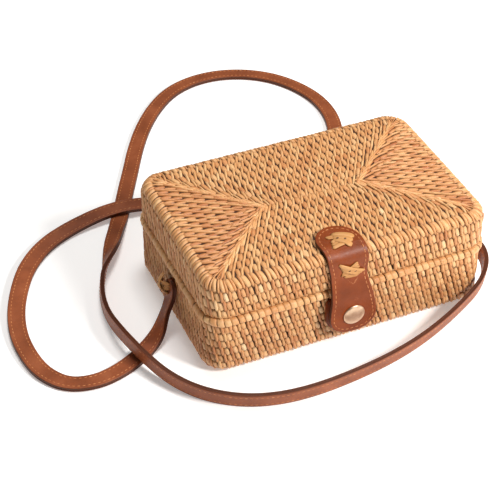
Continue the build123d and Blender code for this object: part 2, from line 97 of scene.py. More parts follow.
axes, back = camera_axes(camera_azimuth, camera_elevation, camera_pan, camera_tilt, camera_roll)
camera_data = bpy.data.cameras.new("camera")
camera_data.sensor_width = sensor
camera_data.lens = focal_pixels / picture_pixels * sensor
camera = bpy.data.objects.new("camera", camera_data)
camera.matrix_world = Matrix.Translation(camera_aim + back * camera_distance) @ axes.to_4x4()
scene.collection.objects.link(camera)
scene.camera = camera
print("lens", round(camera_data.lens, 1), "camera at", tuple(round(v, 3) for v in camera.location))

# %% [markdown]
# The studio is a pale floor under an even sky, as in a product photograph with a white ground. One soft
# lamp at the front right models the weave: it is low enough to leave a small shadow beside each stitch,
# and it leaves the left end of the bag darker, as in the photograph. A second lamp from above lights the
# top. The floor glows a little as well, which keeps it white right up to the bag without more light on
# the grass.

# %% Sky and lamps
sky_strength = 0.16
scene.view_settings.view_transform = "Standard"
scene.view_settings.look = "None"

world = bpy.data.worlds.new("studio")
world.use_nodes = True
sky = world.node_tree.nodes["Background"]
sky.inputs["Color"].default_value = (1.0, 0.96, 0.91, 1.0)
sky.inputs["Strength"].default_value = sky_strength
scene.world = world


def lamp(name, place, size, power, colour):
    """A square area lamp that looks at the bag."""
    data = bpy.data.lights.new(name, "AREA")
    data.size = size
    data.energy = power
    data.color = colour
    obj = bpy.data.objects.new(name, data)
    obj.location = place
    obj.rotation_euler = (Vector((0, 0, 0.03)) - Vector(place)).to_track_quat("-Z", "Y").to_euler()
    scene.collection.objects.link(obj)


lamp("key", (0.66, -0.92, 0.92), size=0.30, power=22.6, colour=(1.0, 0.98, 0.95))
lamp("top", (0.06, 0.25, 1.42), size=0.45, power=11.2, colour=(1.0, 0.98, 0.96))
print("sky", sky_strength, "lamps", [light.name for light in bpy.data.lights])

# %% Floor
floor_size = 6.0
floor_glow = 0.27
floor_mesh = bpy.data.meshes.new("floor")
half_floor = floor_size / 2
floor_corners = [(x * half_floor, y * half_floor, 0) for x, y in ((-1, -1), (1, -1), (1, 1), (-1, 1))]
floor_mesh.from_pydata(floor_corners, [], [(0, 1, 2, 3)])
floor = bpy.data.objects.new("floor", floor_mesh)
scene.collection.objects.link(floor)
floor_paint = bpy.data.materials.new("floor paint")
floor_paint.use_nodes = True
floor_shader = floor_paint.node_tree.nodes["Principled BSDF"]
floor_shader.inputs["Base Color"].default_value = (0.93, 0.93, 0.93, 1.0)
floor_shader.inputs["Roughness"].default_value = 0.9
floor_shader.inputs["Specular IOR Level"].default_value = 0.1
floor_shader.inputs["Emission Color"].default_value = (1.0, 1.0, 1.0, 1.0)
floor_shader.inputs["Emission Strength"].default_value = floor_glow
floor_mesh.materials.append(floor_paint)
print("floor", floor_size, "m across")

# %% [markdown]
# Two kinds of surface need the same small effects in several materials: the long fibres of dried grass,
# and the pores and rubbing of leather. They could be built again in each material, but then a correction
# has to be made in each. So each effect is a node group that puts out only masks and heights, and the
# shader stays in the material, where the colours and the gloss are set. A few helpers keep the node trees
# short to write.


# %% Node helpers
def socket(tree, kind, name, way, value=None):
    """Add one named socket to a node group's interface."""
    made = tree.interface.new_socket(name=name, in_out=way, socket_type=kind)
    if value is not None:
        made.default_value = value
    return made


def node(tree, kind, **settings):
    """A new node with its properties set."""
    made = tree.nodes.new(kind)
    for key, value in settings.items():
        setattr(made, key, value)
    return made


def calculate(tree, operation, first, second, clamp=False):
    """A Math node. Each input is a socket or a number."""
    made = node(tree, "ShaderNodeMath", operation=operation, use_clamp=clamp)
    for index, value in enumerate((first, second)):
        if isinstance(value, (int, float)):
            made.inputs[index].default_value = value
        else:
            tree.links.new(value, made.inputs[index])
    return made.outputs[0]


def mixed(tree, share, first, second, blend="MIX"):
    """A colour mix. Share is a socket or a number, and so is each colour."""
    made = node(tree, "ShaderNodeMix", data_type="RGBA", blend_type=blend)
    for name, value in (("Factor_Float", share), ("A_Color", first), ("B_Color", second)):
        target = next(s for s in made.inputs if s.identifier == name)
        if isinstance(value, bpy.types.NodeSocket):
            tree.links.new(value, target)
        else:
            target.default_value = value
    return next(s for s in made.outputs if s.identifier == "Result_Color")


# %% Helpers for colours and noise
def ramp(tree, value, stops):
    """A colour ramp through (position, linear colour) stops."""
    made = node(tree, "ShaderNodeValToRGB")
    band = made.color_ramp
    while len(band.elements) < len(stops):
        band.elements.new(1.0)
    for element, (position, colour) in zip(band.elements, stops):
        element.position = position
        element.color = (*colour, 1.0)
    tree.links.new(value, made.inputs[0])
    return made.outputs["Color"]


def noise(tree, vector, scale, detail=2.0, roughness=0.5):
    """A noise texture's value."""
    made = node(tree, "ShaderNodeTexNoise")
    made.inputs["Scale"].default_value = scale
    made.inputs["Detail"].default_value = detail
    made.inputs["Roughness"].default_value = roughness
    tree.links.new(vector, made.inputs["Vector"])
    return made.outputs["Fac"]


def linear(red, green, blue):
    """A colour seen on a screen as 0 to 255, as the linear values that a shader takes."""
    shares = (red / 255, green / 255, blue / 255)
    return tuple(((c + 0.055) / 1.055) ** 2.4 if c > 0.04 else c / 12.92 for c in shares)


# %% Node group for the fibres of dried grass
streak_scale = 2.6
hair_scale = 7.0
blotch_scale = 0.45


def build_fibre_group():
    """Fine streaks along a strand, slower blotches and a height, from a strand's own coordinates."""
    tree = bpy.data.node_groups.new("grass fibres", "ShaderNodeTree")
    socket(tree, "NodeSocketVector", "Strand", "INPUT")
    socket(tree, "NodeSocketFloat", "Fineness", "INPUT", 1.0)
    socket(tree, "NodeSocketFloat", "Streak", "OUTPUT")
    socket(tree, "NodeSocketFloat", "Blotch", "OUTPUT")
    socket(tree, "NodeSocketFloat", "Height", "OUTPUT")
    start = node(tree, "NodeGroupInput")
    end = node(tree, "NodeGroupOutput")
    fine = node(tree, "ShaderNodeVectorMath", operation="SCALE")
    tree.links.new(start.outputs["Strand"], fine.inputs[0])
    tree.links.new(start.outputs["Fineness"], fine.inputs["Scale"])
    streak = noise(tree, fine.outputs[0], streak_scale, detail=4.0, roughness=0.6)
    hair = noise(tree, fine.outputs[0], hair_scale, detail=2.0)
    blotch = noise(tree, start.outputs["Strand"], blotch_scale, detail=2.0)
    tree.links.new(streak, end.inputs["Streak"])
    tree.links.new(blotch, end.inputs["Blotch"])
    height = calculate(tree, "ADD", streak, calculate(tree, "MULTIPLY", hair, 0.5))
    tree.links.new(height, end.inputs["Height"])
    return tree


fibre_group = build_fibre_group()
print("group", fibre_group.name, [s.name for s in fibre_group.interface.items_tree])


# %% Node group for leather
pore_scale = 1400.0
wrinkle_scale = 420.0
mottle_scale = 60.0
rub_scale = 230.0


def build_leather_group():
    """Pores and fine creases as a height, a slow mottle, and rubbing, from object coordinates."""
    tree = bpy.data.node_groups.new("leather grain", "ShaderNodeTree")
    socket(tree, "NodeSocketVector", "Place", "INPUT")
    socket(tree, "NodeSocketFloat", "Pore size", "INPUT", 1.0)
    socket(tree, "NodeSocketFloat", "Height", "OUTPUT")
    socket(tree, "NodeSocketFloat", "Mottle", "OUTPUT")
    socket(tree, "NodeSocketFloat", "Rub", "OUTPUT")
    start = node(tree, "NodeGroupInput")
    end = node(tree, "NodeGroupOutput")
    size = node(tree, "ShaderNodeVectorMath", operation="SCALE")
    tree.links.new(start.outputs["Place"], size.inputs[0])
    tree.links.new(start.outputs["Pore size"], size.inputs["Scale"])
    cells = node(tree, "ShaderNodeTexVoronoi", feature="DISTANCE_TO_EDGE")
    cells.inputs["Scale"].default_value = pore_scale
    tree.links.new(size.outputs[0], cells.inputs["Vector"])
    pores = calculate(tree, "MINIMUM", calculate(tree, "MULTIPLY", cells.outputs["Distance"], 4.0), 1.0)
    wrinkle = noise(tree, size.outputs[0], wrinkle_scale, detail=4.0, roughness=0.65)
    height = calculate(tree, "ADD", calculate(tree, "MULTIPLY", pores, 0.5), wrinkle)
    tree.links.new(height, end.inputs["Height"])
    mottle = noise(tree, start.outputs["Place"], mottle_scale, detail=3.0)
    tree.links.new(mottle, end.inputs["Mottle"])
    rub = noise(tree, start.outputs["Place"], rub_scale, detail=5.0, roughness=0.7)
    tree.links.new(calculate(tree, "SMOOTH_MIN", rub, 0.75), end.inputs["Rub"])
    return tree


leather_group = build_leather_group()
print("group", leather_group.name)

# %% [markdown]
# Grass first. One picture of woven grass could be laid over the whole box, but it would look flat from
# the side and repeat. Here each strand carries its own values in its mesh: its tone and how pink it is,
# because no two strands dry to the same colour, its coordinates along and across, which stretch the
# fibres the right way, and how much painted shade each point gets, most of it between the coils.
# The ramp runs from red-brown to pale straw.


# %% Grass material
def attribute(tree, name, output):
    """A value that is stored in the mesh."""
    made = node(tree, "ShaderNodeAttribute", attribute_type="GEOMETRY", attribute_name=name)
    return made.outputs[output]


def bumped(tree, height, strength, distance):
    """A Bump node's normal."""
    made = node(tree, "ShaderNodeBump")
    made.inputs["Strength"].default_value = strength
    made.inputs["Distance"].default_value = distance
    tree.links.new(height, made.inputs["Height"])
    return made.outputs["Normal"]


def grass_material(name, stops, shade_colour, roughness, bump=0.5):
    """Dried grass: stops are the tones from dark to pale, and the painted shade between the coils has its
    own colour.
    """
    material = bpy.data.materials.new(name)
    material.use_nodes = True
    tree = material.node_tree
    shader = tree.nodes["Principled BSDF"]
    fibres = node(tree, "ShaderNodeGroup", node_tree=fibre_group)
    fibres.inputs["Fineness"].default_value = 1.0
    tree.links.new(attribute(tree, "strand", "Vector"), fibres.inputs["Strand"])
    tone = calculate(tree, "ADD", attribute(tree, "tone", "Fac"), -0.34)
    tone = calculate(tree, "ADD", tone, calculate(tree, "MULTIPLY", fibres.outputs["Streak"], 0.42))
    tone = calculate(tree, "ADD", tone, calculate(tree, "MULTIPLY", fibres.outputs["Blotch"], 0.26))
    colour = ramp(tree, tone, stops)
    pink = calculate(tree, "MULTIPLY", attribute(tree, "pink", "Fac"), 0.55)
    colour = mixed(tree, pink, colour, (0.93, 0.70, 0.66, 1.0), blend="MULTIPLY")
    # Painted shade: the colour is mixed towards the shade colour as far as the mesh's value says.
    depth = calculate(tree, "MULTIPLY", attribute(tree, "depth", "Fac"), 1.0, clamp=True)
    colour = mixed(tree, depth, colour, (*shade_colour, 1.0))
    tree.links.new(colour, shader.inputs["Base Color"])
    rough = calculate(tree, "MULTIPLY", fibres.outputs["Streak"], 0.3)
    tree.links.new(calculate(tree, "ADD", rough, roughness - 0.15), shader.inputs["Roughness"])
    tree.links.new(bumped(tree, fibres.outputs["Height"], bump, 0.00025), shader.inputs["Normal"])
    shader.inputs["Specular IOR Level"].default_value = 0.5
    return material


weave_stops = (
    (0.0, linear(136, 74, 38)),
    (0.22, linear(180, 110, 62)),
    (0.45, linear(208, 146, 92)),
    (0.62, linear(223, 169, 112)),
    (0.8, linear(236, 192, 138)),
    (1.0, linear(248, 218, 172)),
)
knot_stops = (
    (0.0, linear(134, 78, 34)),
    (0.4, linear(176, 117, 60)),
    (0.7, linear(197, 141, 82)),
    (1.0, linear(222, 174, 116)),
)
# Each grass material's third colour is the painted shade: between the coils, in the holes and on the core.
grass = grass_material("coiled grass", weave_stops, linear(50, 20, 8), 0.42, bump=0.8)
straw = grass_material("knot grass", knot_stops, linear(96, 56, 24), 0.5)
# The core's colours are dark as painted shade, because it is seen only in the gaps between the strands.
shade_core_stops = ((0.0, linear(54, 26, 12)), (1.0, linear(92, 48, 22)))
shade_core_paint = grass_material("grass core", shade_core_stops, linear(46, 22, 10), 0.7)
print("grass materials", grass.name, straw.name, shade_core_paint.name)

# %% [markdown]
# The leather is a satin brown with tones that drift, fine pores, and cut edges that are burnished dark.
# The edges could be found from the shape with a Bevel node, but only the final renderer knows that node,
# so the mesh of each leather piece says where its cut edge is. The tab is a redder brown than the strap,
# and the worn leather is for the marks on the tab.


# %% Leather
def leather_material(name, dark, mid, light, roughness, gloss=0.28):
    """Smooth leather. The attribute edge is 1 on the burnished cut edge."""
    material = bpy.data.materials.new(name)
    material.use_nodes = True
    tree = material.node_tree
    shader = tree.nodes["Principled BSDF"]
    place = node(tree, "ShaderNodeTexCoord").outputs["Object"]
    grain = node(tree, "ShaderNodeGroup", node_tree=leather_group)
    grain.inputs["Pore size"].default_value = 1.0
    tree.links.new(place, grain.inputs["Place"])
    tone = calculate(tree, "MULTIPLY", grain.outputs["Mottle"], 0.8)
    tone = calculate(tree, "ADD", tone, calculate(tree, "MULTIPLY", grain.outputs["Rub"], 0.35))
    tone = calculate(tree, "ADD", tone, -0.1)
    colour = ramp(tree, tone, ((0.15, dark), (0.5, mid), (0.85, light)))
    edge = attribute(tree, "edge", "Fac")
    colour = mixed(tree, edge, colour, (*[c * 0.5 for c in dark], 1.0))
    tree.links.new(colour, shader.inputs["Base Color"])
    rough = calculate(tree, "MULTIPLY", grain.outputs["Rub"], 0.3)
    tree.links.new(calculate(tree, "ADD", rough, roughness - 0.15), shader.inputs["Roughness"])
    tree.links.new(bumped(tree, grain.outputs["Height"], 0.55, 0.00016), shader.inputs["Normal"])
    shader.inputs["Specular IOR Level"].default_value = gloss
    shader.inputs["Coat Weight"].default_value = 0.06
    shader.inputs["Coat Roughness"].default_value = 0.28
    return material


tab_browns = (linear(102, 44, 11), linear(132, 58, 15), linear(158, 78, 27))
strap_browns = (linear(112, 57, 31), linear(143, 77, 45), linear(169, 99, 63))
worn_browns = (linear(150, 84, 46), linear(168, 100, 60), linear(186, 120, 78))
leather = leather_material("leather", *tab_browns, 0.40)
strap_leather = leather_material("strap leather", *strap_browns, 0.42, gloss=0.2)
worn_leather = leather_material("worn leather", *worn_browns, 0.6)
print("leathers", [m.name for m in (leather, strap_leather, worn_leather)])

# %% [markdown]
# The thread of the seams, the cloth of the lining and the metal of the press stud are small things, but
# each catches the light in its own way. The thread uses the fibres again, three times as fine. The
# cloth's yarns are crossed waves, because the lining is too plain to be worth modelling. The metal is
# brushed by a noise that is stretched a long way in one direction.


# %% Thread
def thread_material():
    """Waxed thread, twisted: the twist is a fine wave along the strand."""
    material = bpy.data.materials.new("thread")
    material.use_nodes = True
    tree = material.node_tree
    shader = tree.nodes["Principled BSDF"]
    fibres = node(tree, "ShaderNodeGroup", node_tree=fibre_group)
    fibres.inputs["Fineness"].default_value = 3.0
    tree.links.new(attribute(tree, "strand", "Vector"), fibres.inputs["Strand"])
    tone = calculate(tree, "ADD", attribute(tree, "tone", "Fac"), -0.25)
    tone = calculate(tree, "ADD", tone, calculate(tree, "MULTIPLY", fibres.outputs["Streak"], 0.5))
    stops = ((0.1, linear(168, 92, 48)), (0.6, linear(206, 132, 76)), (1.0, linear(228, 168, 112)))
    tree.links.new(ramp(tree, tone, stops), shader.inputs["Base Color"])
    tree.links.new(bumped(tree, fibres.outputs["Height"], 0.6, 0.0001), shader.inputs["Normal"])
    shader.inputs["Roughness"].default_value = 0.55
    return material


thread = thread_material()


# %% Cloth of the lining
def cloth_material():
    """Plain woven lining: two crossed waves make the yarns."""
    material = bpy.data.materials.new("lining cloth")
    material.use_nodes = True
    tree = material.node_tree
    shader = tree.nodes["Principled BSDF"]
    place = node(tree, "ShaderNodeTexCoord").outputs["Object"]
    yarns = []
    for direction in ("X", "Y", "Z"):
        wave = node(tree, "ShaderNodeTexWave", bands_direction=direction)
        wave.inputs["Scale"].default_value = 420.0
        wave.inputs["Distortion"].default_value = 1.5
        tree.links.new(place, wave.inputs["Vector"])
        yarns.append(wave.outputs["Fac"])
    height = calculate(tree, "ADD", calculate(tree, "ADD", yarns[0], yarns[1]), yarns[2])
    slubs = noise(tree, place, 300.0, detail=4.0)
    tone = calculate(tree, "MULTIPLY", slubs, 0.7)
    tone = calculate(tree, "ADD", tone, calculate(tree, "MULTIPLY", height, 0.15))
    stops = ((0.2, linear(176, 150, 112)), (0.6, linear(206, 184, 148)), (1.0, linear(226, 208, 176)))
    tree.links.new(ramp(tree, tone, stops), shader.inputs["Base Color"])
    tree.links.new(bumped(tree, height, 0.5, 0.0002), shader.inputs["Normal"])
    shader.inputs["Roughness"].default_value = 0.9
    shader.inputs["Specular IOR Level"].default_value = 0.2
    return material


cloth = cloth_material()


# %% Metal of the press stud
def metal_material():
    """Warm nickel-brass of the press stud, brushed and a little smudged."""
    material = bpy.data.materials.new("stud metal")
    material.use_nodes = True
    tree = material.node_tree
    shader = tree.nodes["Principled BSDF"]
    place = node(tree, "ShaderNodeTexCoord").outputs["Object"]
    smudge = noise(tree, place, 260.0, detail=4.0, roughness=0.6)
    scratch = node(tree, "ShaderNodeMapping")
    scratch.inputs["Scale"].default_value = (6000.0, 900.0, 900.0)
    tree.links.new(place, scratch.inputs["Vector"])
    brushed = noise(tree, scratch.outputs[0], 1.0, detail=2.0)
    stops = ((0.3, linear(206, 172, 142)), (0.6, linear(222, 192, 162)), (0.9, linear(232, 206, 180)))
    tree.links.new(ramp(tree, smudge, stops), shader.inputs["Base Color"])
    rough = calculate(tree, "ADD", calculate(tree, "MULTIPLY", smudge, 0.12), 0.32)
    tree.links.new(rough, shader.inputs["Roughness"])
    tree.links.new(bumped(tree, brushed, 0.12, 0.00005), shader.inputs["Normal"])
    shader.inputs["Metallic"].default_value = 1.0
    return material


metal = metal_material()
print("materials", [m.name for m in (thread, cloth, metal)])

# %% [markdown]
# Every strand, stitch and thread dash on this bag is the same thing: a short bar with a rounded section
# that follows a few points. Thousands of curve objects would do it too, but they are slow to make and to
# export. So one helper makes any number of strands at once, as one mesh. It takes the centre points and
# the direction that faces out, and it works the rest out with arrays. A section is a few corners from
# left to right, each with its place across, its height, and how much shadow is painted there.

# %% Sections of the strands
round_section = (
    (-1.0, -0.9, 0.75),
    (-0.82, -0.05, 0.1),
    (0.0, 0.55, 0.0),
    (0.82, -0.05, 0.1),
    (1.0, -0.9, 0.75),
)
flat_section = (
    (-1.0, -1.0, 0.8),
    (-0.92, 0.12, 0.0),
    (-0.5, 0.52, 0.0),
    (0.5, 0.52, 0.0),
    (0.92, 0.12, 0.0),
    (1.0, -1.0, 0.8),
)
tile_section = (
    (-1.0, -0.7, 0.4),
    (-0.86, 0.18, 0.0),
    (0.0, 0.42, 0.0),
    (0.78, 0.20, 0.1),
    (1.0, -0.9, 1.0),
)
pad_section = (
    (-1.0, -0.8, 0.45),
    (-0.86, 0.22, 0.0),
    (0.0, 0.50, 0.0),
    (0.74, 0.30, 0.12),
    (1.0, -1.1, 1.0),
)
print("corners", [len(s) for s in (round_section, flat_section, tile_section, pad_section)])


# %% Helper that makes many strands at once
def unit(vectors):
    """Vectors scaled to length 1."""
    return vectors / np.maximum(np.linalg.norm(vectors, axis=-1, keepdims=True), 1e-12)


class Bundle:
    """Strands that will share one mesh. Each batch is arrays of points, quads and mesh values."""

    def __init__(self):
        self.points = []
        self.quads = []
        self.caps = []
        self.tones = []
        self.painted_shades = []
        self.pinks = []
        self.strands = []
        self.count = 0
        self.number = 0

    def add(self, centres, outward, half_width, thickness, tones,
            pink=None, depth=None, section=round_section):
        """centres and outward are (strands, steps, 3). Sizes are (strands, steps or 1)."""
        n, steps, _ = centres.shape
        shade = np.array(section)[:, 2]
        section = np.array(section)[:, :2]
        m = len(section)
        along = unit(np.gradient(centres, axis=1))
        across = unit(np.cross(along, outward))
        up = np.cross(across, along)
        width = np.broadcast_to(half_width, (n, steps))[..., None, None]
        thick = np.broadcast_to(thickness, (n, steps))[..., None, None]
        points = centres[:, :, None] + across[:, :, None] * (width * section[:, :1])
        points = points + up[:, :, None] * (thick * section[:, 1:])
        index = np.arange(n * steps * m).reshape(n, steps, m) + self.count
        a = index[:, :-1]
        b = index[:, 1:]
        quads = np.stack([a, np.roll(a, -1, 2), np.roll(b, -1, 2), b], -1).reshape(-1, 4)
        travel = np.linalg.norm(np.diff(centres, axis=1), axis=-1)
        travel = np.concatenate([np.zeros((n, 1)), np.cumsum(travel, 1)], 1)
        grain = np.zeros((n, steps, m, 3))
        grain[..., 0] = np.broadcast_to((width * section[:, :1])[..., 0] / MM, (n, steps, m))
        grain[..., 1] = travel[..., None] / MM * 0.12
        grain[..., 2] = (np.arange(n) + self.number)[:, None, None] * 3.7
        # Painted shade along each strand, added to the painted shadow of its section's corners.
        depth = np.zeros((n, steps)) if depth is None else np.broadcast_to(depth, (n, steps))
        pink = np.zeros(n) if pink is None else pink
        self.points.append(points.reshape(-1, 3))
        self.quads.append(quads)
        self.caps.append(index[:, 0, ::-1])
        self.caps.append(index[:, -1])
        self.tones.append(np.broadcast_to(tones[:, None, None], (n, steps, m)).reshape(-1))
        self.painted_shades.append(np.clip(depth[..., None] + shade, 0, 1).reshape(-1))
        self.pinks.append(np.broadcast_to(pink[:, None, None], (n, steps, m)).reshape(-1))
        self.strands.append(grain.reshape(-1, 3))
        self.count += n * steps * m
        self.number += n

    def build(self, name, material):
        """One mesh object of all the strands."""
        faces = np.concatenate(self.quads).tolist()
        for caps in self.caps:
            faces += caps.tolist()
        obj = mesh_object(name, np.concatenate(self.points), faces, material)
        store(obj, "tone", np.concatenate(self.tones))
        store(obj, "depth", np.concatenate(self.painted_shades))
        store(obj, "pink", np.concatenate(self.pinks))
        store(obj, "strand", np.concatenate(self.strands))
        triangles = sum(len(p.vertices) - 2 for p in obj.data.polygons)
        print(name, self.number, "strands", triangles, "triangles")
        return obj


# %% Helpers that make a mesh and keep values in it
def mesh_object(name, points, faces, material):
    """A smooth-shaded mesh in the scene."""
    mesh = bpy.data.meshes.new(name)
    mesh.from_pydata(np.asarray(points).tolist(), [], faces)
    mesh.polygons.foreach_set("use_smooth", np.ones(len(mesh.polygons), bool))
    mesh.materials.append(material)
    mesh.update()
    obj = bpy.data.objects.new(name, mesh)
    scene.collection.objects.link(obj)
    return obj


def store(obj, name, values):
    """Keep one value or vector for each point in the mesh."""
    values = np.asarray(values, np.float32)
    if values.ndim == 1:
        made = obj.data.attributes.new(name, "FLOAT", "POINT")
        made.data.foreach_set("value", values)
    else:
        made = obj.data.attributes.new(name, "FLOAT_VECTOR", "POINT")
        made.data.foreach_set("vector", values.reshape(-1))


# %% [markdown]
# The strap comes before the weave, because a free strap has to lie inside the room that the CAD keeps for
# it. It is one length of doubled leather. It leaves the left wall, lies flat in a small loop, runs behind
# the bag and back in a wide loop, then twists on edge and comes round the front to the right wall. A
# cloth simulation would never fall into the same loops as in the photograph, so its path is a smooth
# spline through listed points, and the leather's section is carried along it.

# %% Route of the strap
strap_width = 0.012
strap_thickness = 0.003
# x, y and z of each point, in millimetres, from the tip at the left wall to the tip at the right wall
strap_route = (
    (-101.8, -5.0, 37.2), (-101.8, -5.0, 30.0), (-103.6, -6.0, 22.0), (-109.5, -10.0, 13.0),
    (-117.0, -17.0, 4.6), (-128.0, -25.0, 1.8), (-140.0, -32.0, 1.7), (-153.0, -37.5, 1.7),
    (-168.0, -40.0, 1.7), (-185.0, -35.5, 1.7), (-196.0, -20.5, 2.1), (-200.0, -2.0, 2.2),
    (-200.5, 19.0, 2.5), (-196.0, 41.0, 2.9), (-187.0, 63.0, 3.0), (-175.0, 84.0, 3.0),
    (-157.0, 102.0, 2.9), (-134.0, 113.5, 3.0), (-104.0, 118.5, 6.2), (-81.0, 117.0, 6.2),
    (-55.0, 112.5, 1.7), (-28.0, 108.5, 1.7), (0.0, 107.0, 1.7), (26.0, 108.0, 1.7),
    (50.0, 112.0, 1.7), (72.0, 121.0, 1.7), (88.0, 136.0, 1.7), (97.5, 155.0, 1.7),
    (102.0, 177.0, 1.7), (100.5, 199.0, 1.7), (92.5, 220.5, 1.7), (79.5, 239.0, 1.7),
    (61.0, 252.5, 1.7), (39.0, 259.5, 1.7), (16.0, 258.5, 1.7), (-6.0, 249.5, 1.7),
    (-26.0, 231.5, 1.7), (-43.0, 210.0, 1.7), (-57.5, 186.5, 1.7), (-70.0, 162.5, 1.7),
    (-82.5, 139.5, 1.7), (-93.0, 119.0, 1.7), (-99.5, 107.0, 2.4), (-112.5, 83.0, 6.2),
    (-121.5, 66.4, 6.2), (-132.5, 48.5, 6.2), (-139.0, 29.0, 6.2), (-141.5, 9.0, 7.4),
    (-140.5, -12.0, 11.0), (-135.0, -38.0, 11.0), (-126.0, -60.0, 7.4), (-112.0, -80.0, 6.2),
    (-92.0, -95.5, 6.2), (-69.0, -103.5, 6.2), (-44.0, -105.5, 6.2), (-18.0, -103.5, 6.2),
    (8.0, -99.5, 6.2), (33.0, -93.0, 6.2), (57.0, -84.0, 6.8), (79.0, -74.5, 9.6),
    (96.0, -67.0, 14.6), (108.0, -54.0, 18.6), (111.5, -38.0, 20.6), (101.8, -22.0, 22.1),
    (101.8, -8.0, 26.5), (101.8, 1.0, 29.3), (101.8, 9.0, 31.8),
)
print("the strap's route has", len(strap_route), "points")


# %% Path of the strap
def spline_points(name, route, resolution):
    """The points of a smooth spline through the route, read back from Blender."""
    curve = bpy.data.curves.new(name, "CURVE")
    curve.dimensions = "3D"
    curve.resolution_u = resolution
    spline = curve.splines.new("NURBS")
    spline.points.add(len(route) - 1)
    for point, (x, y, z) in zip(spline.points, route):
        point.co = (x * MM, y * MM, z * MM, 1.0)
    spline.order_u = 3
    spline.use_endpoint_u = True
    carrier = bpy.data.objects.new(name, curve)
    mesh = bpy.data.meshes.new_from_object(carrier)
    points = np.array([v.co for v in mesh.vertices])
    bpy.data.objects.remove(carrier)
    bpy.data.curves.remove(curve)
    bpy.data.meshes.remove(mesh)
    return points


strap_path = spline_points("strap route", strap_route, 8)
strap_steps = np.linalg.norm(np.diff(strap_path, axis=0), axis=1)
strap_travel = np.concatenate([[0.0], np.cumsum(strap_steps)])
strap_length = strap_travel[-1]
print("strap length", round(strap_length / MM), "mm from", len(strap_path), "points")

# %% [markdown]
# A flat strap also needs to know which way it faces. The roll is 0 where it lies flat and 90 degrees
# where it stands on edge. It is given at a few places, as the distance from the left tip, and it is
# blended smoothly between them. Against the left wall the leather faces out from the wall instead of up.

# %% Which way the strap faces
strap_roll = (
    (0.0, 0.0),
    (150.0, 4.0),
    (230.0, 13.0),
    (330.0, 6.0),
    (890.0, 0.0),
    (915.0, 14.0),
    (965.0, 84.0),
    (1010.0, 92.0),
    (1150.0, 103.0),
    (1290.0, 103.0),
    (1360.0, 94.0),
    (1420.0, 90.0),
)
hang_end = 0.022  # so far from its tip the leather lies against the left wall
hang_blend = 0.030  # and over this length it turns to lie flat
print("the strap stands on edge from", strap_roll[6][0], "mm on")


def smooth_keys(keys, values):
    """Values between keys, eased at each key."""
    places = np.array([k[0] for k in keys])
    levels = np.array([k[1] for k in keys])
    slot = np.clip(np.searchsorted(places, values, "right") - 1, 0, len(places) - 2)
    share = np.clip((values - places[slot]) / (places[slot + 1] - places[slot]), 0, 1)
    share = share * share * (3 - 2 * share)
    return levels[slot] + (levels[slot + 1] - levels[slot]) * share


def strap_frame(path, travel):
    """Across and outward directions of the leather at each point of its path."""
    along = unit(np.gradient(path, axis=0))
    hang = np.clip((hang_end + hang_blend - travel) / hang_blend, 0, 1)[:, None]
    reference = np.array([0.0, 0.0, 1.0]) * (1 - hang) + np.array([-1.0, 0.0, 0.0]) * hang
    side = unit(np.cross(along, reference))
    up = np.cross(side, along)
    roll = np.radians(smooth_keys(strap_roll, travel / MM))[:, None]
    outward = up * np.cos(roll) + side * np.sin(roll)
    return np.cross(outward, along), outward


strap_across, strap_outward = strap_frame(strap_path, strap_travel)

# %% [markdown]
# The section of the strap is two layers of leather sewn together: the corners are rounded, and a thin
# groove runs round the edge where the layers meet. A curve's bevel could sweep such a section too, but it
# can't narrow to a round tip or tell the material where the cut edge is. The same helper makes any sewn
# leather band, so it serves for the tab as well.


# %% Section of two sewn layers
def two_layer_loop(half_width, thickness):
    """The outline of two sewn layers, as (across, up, edge) from the middle of the inner face."""
    h = half_width
    t = thickness
    corner = 0.45 * MM
    groove = 0.2 * MM
    right = [
        (h - corner, 0.0, 0.0),
        (h - corner * 0.3, corner * 0.3, 0.5),
        (h, corner, 1.0),
        (h, t / 2 - groove, 1.0),
        (h - groove * 1.4, t / 2, 1.0),
        (h, t / 2 + groove, 1.0),
        (h, t - corner, 1.0),
        (h - corner * 0.3, t - corner * 0.3, 0.5),
        (h - corner, t, 0.0),
    ]
    inner = h - corner * 2.2
    middle_top = [(inner, t, 0.0), (0.0, t * 1.04, 0.0), (-inner, t, 0.0)]
    left = [(-a, b, c) for a, b, c in reversed(right)]
    middle_low = [(-inner, 0.0, 0.0), (0.0, 0.0, 0.0), (inner, 0.0, 0.0)]
    return np.array(right + middle_top + left + middle_low)


print("corners of the strap's section", len(two_layer_loop(strap_width / 2, strap_thickness)))


# %% A band of leather
def band_mesh(name, centres, across, outward, loops, material):
    """A closed band: one loop of the section at each centre. loops is (steps, points, 3)."""
    steps, m, _ = loops.shape
    points = centres[:, None] + across[:, None] * loops[..., :1] + outward[:, None] * loops[..., 1:2]
    index = np.arange(steps * m).reshape(steps, m)
    a = index[:-1]
    b = index[1:]
    faces = np.stack([a, b, np.roll(b, -1, 1), np.roll(a, -1, 1)], -1).reshape(-1, 4).tolist()
    faces += [index[0].tolist(), index[-1][::-1].tolist()]
    obj = mesh_object(name, points.reshape(-1, 3), faces, material)
    store(obj, "edge", loops[..., 2].reshape(-1))
    return obj


# %% Strap
tip_reach = np.minimum(strap_travel, strap_length - strap_travel)
tip_share = np.clip(tip_reach / (strap_width / 2), 0.02, 1.0)
tip_shrink = np.sqrt(1 - (1 - tip_share) ** 2)
strap_loops = np.stack([two_layer_loop(strap_width / 2 * k, strap_thickness) for k in tip_shrink])
strap_loops[..., 1] -= strap_thickness / 2
strap = band_mesh("shoulder_strap", strap_path, strap_across, strap_outward, strap_loops, strap_leather)
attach(strap, "base")
strap_nodes = ("strap_flat_run", "strap_twist", "strap_edge_run", "strap_end_left", "strap_end_right")
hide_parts(*strap_nodes)
print("strap faces", len(strap.data.polygons))

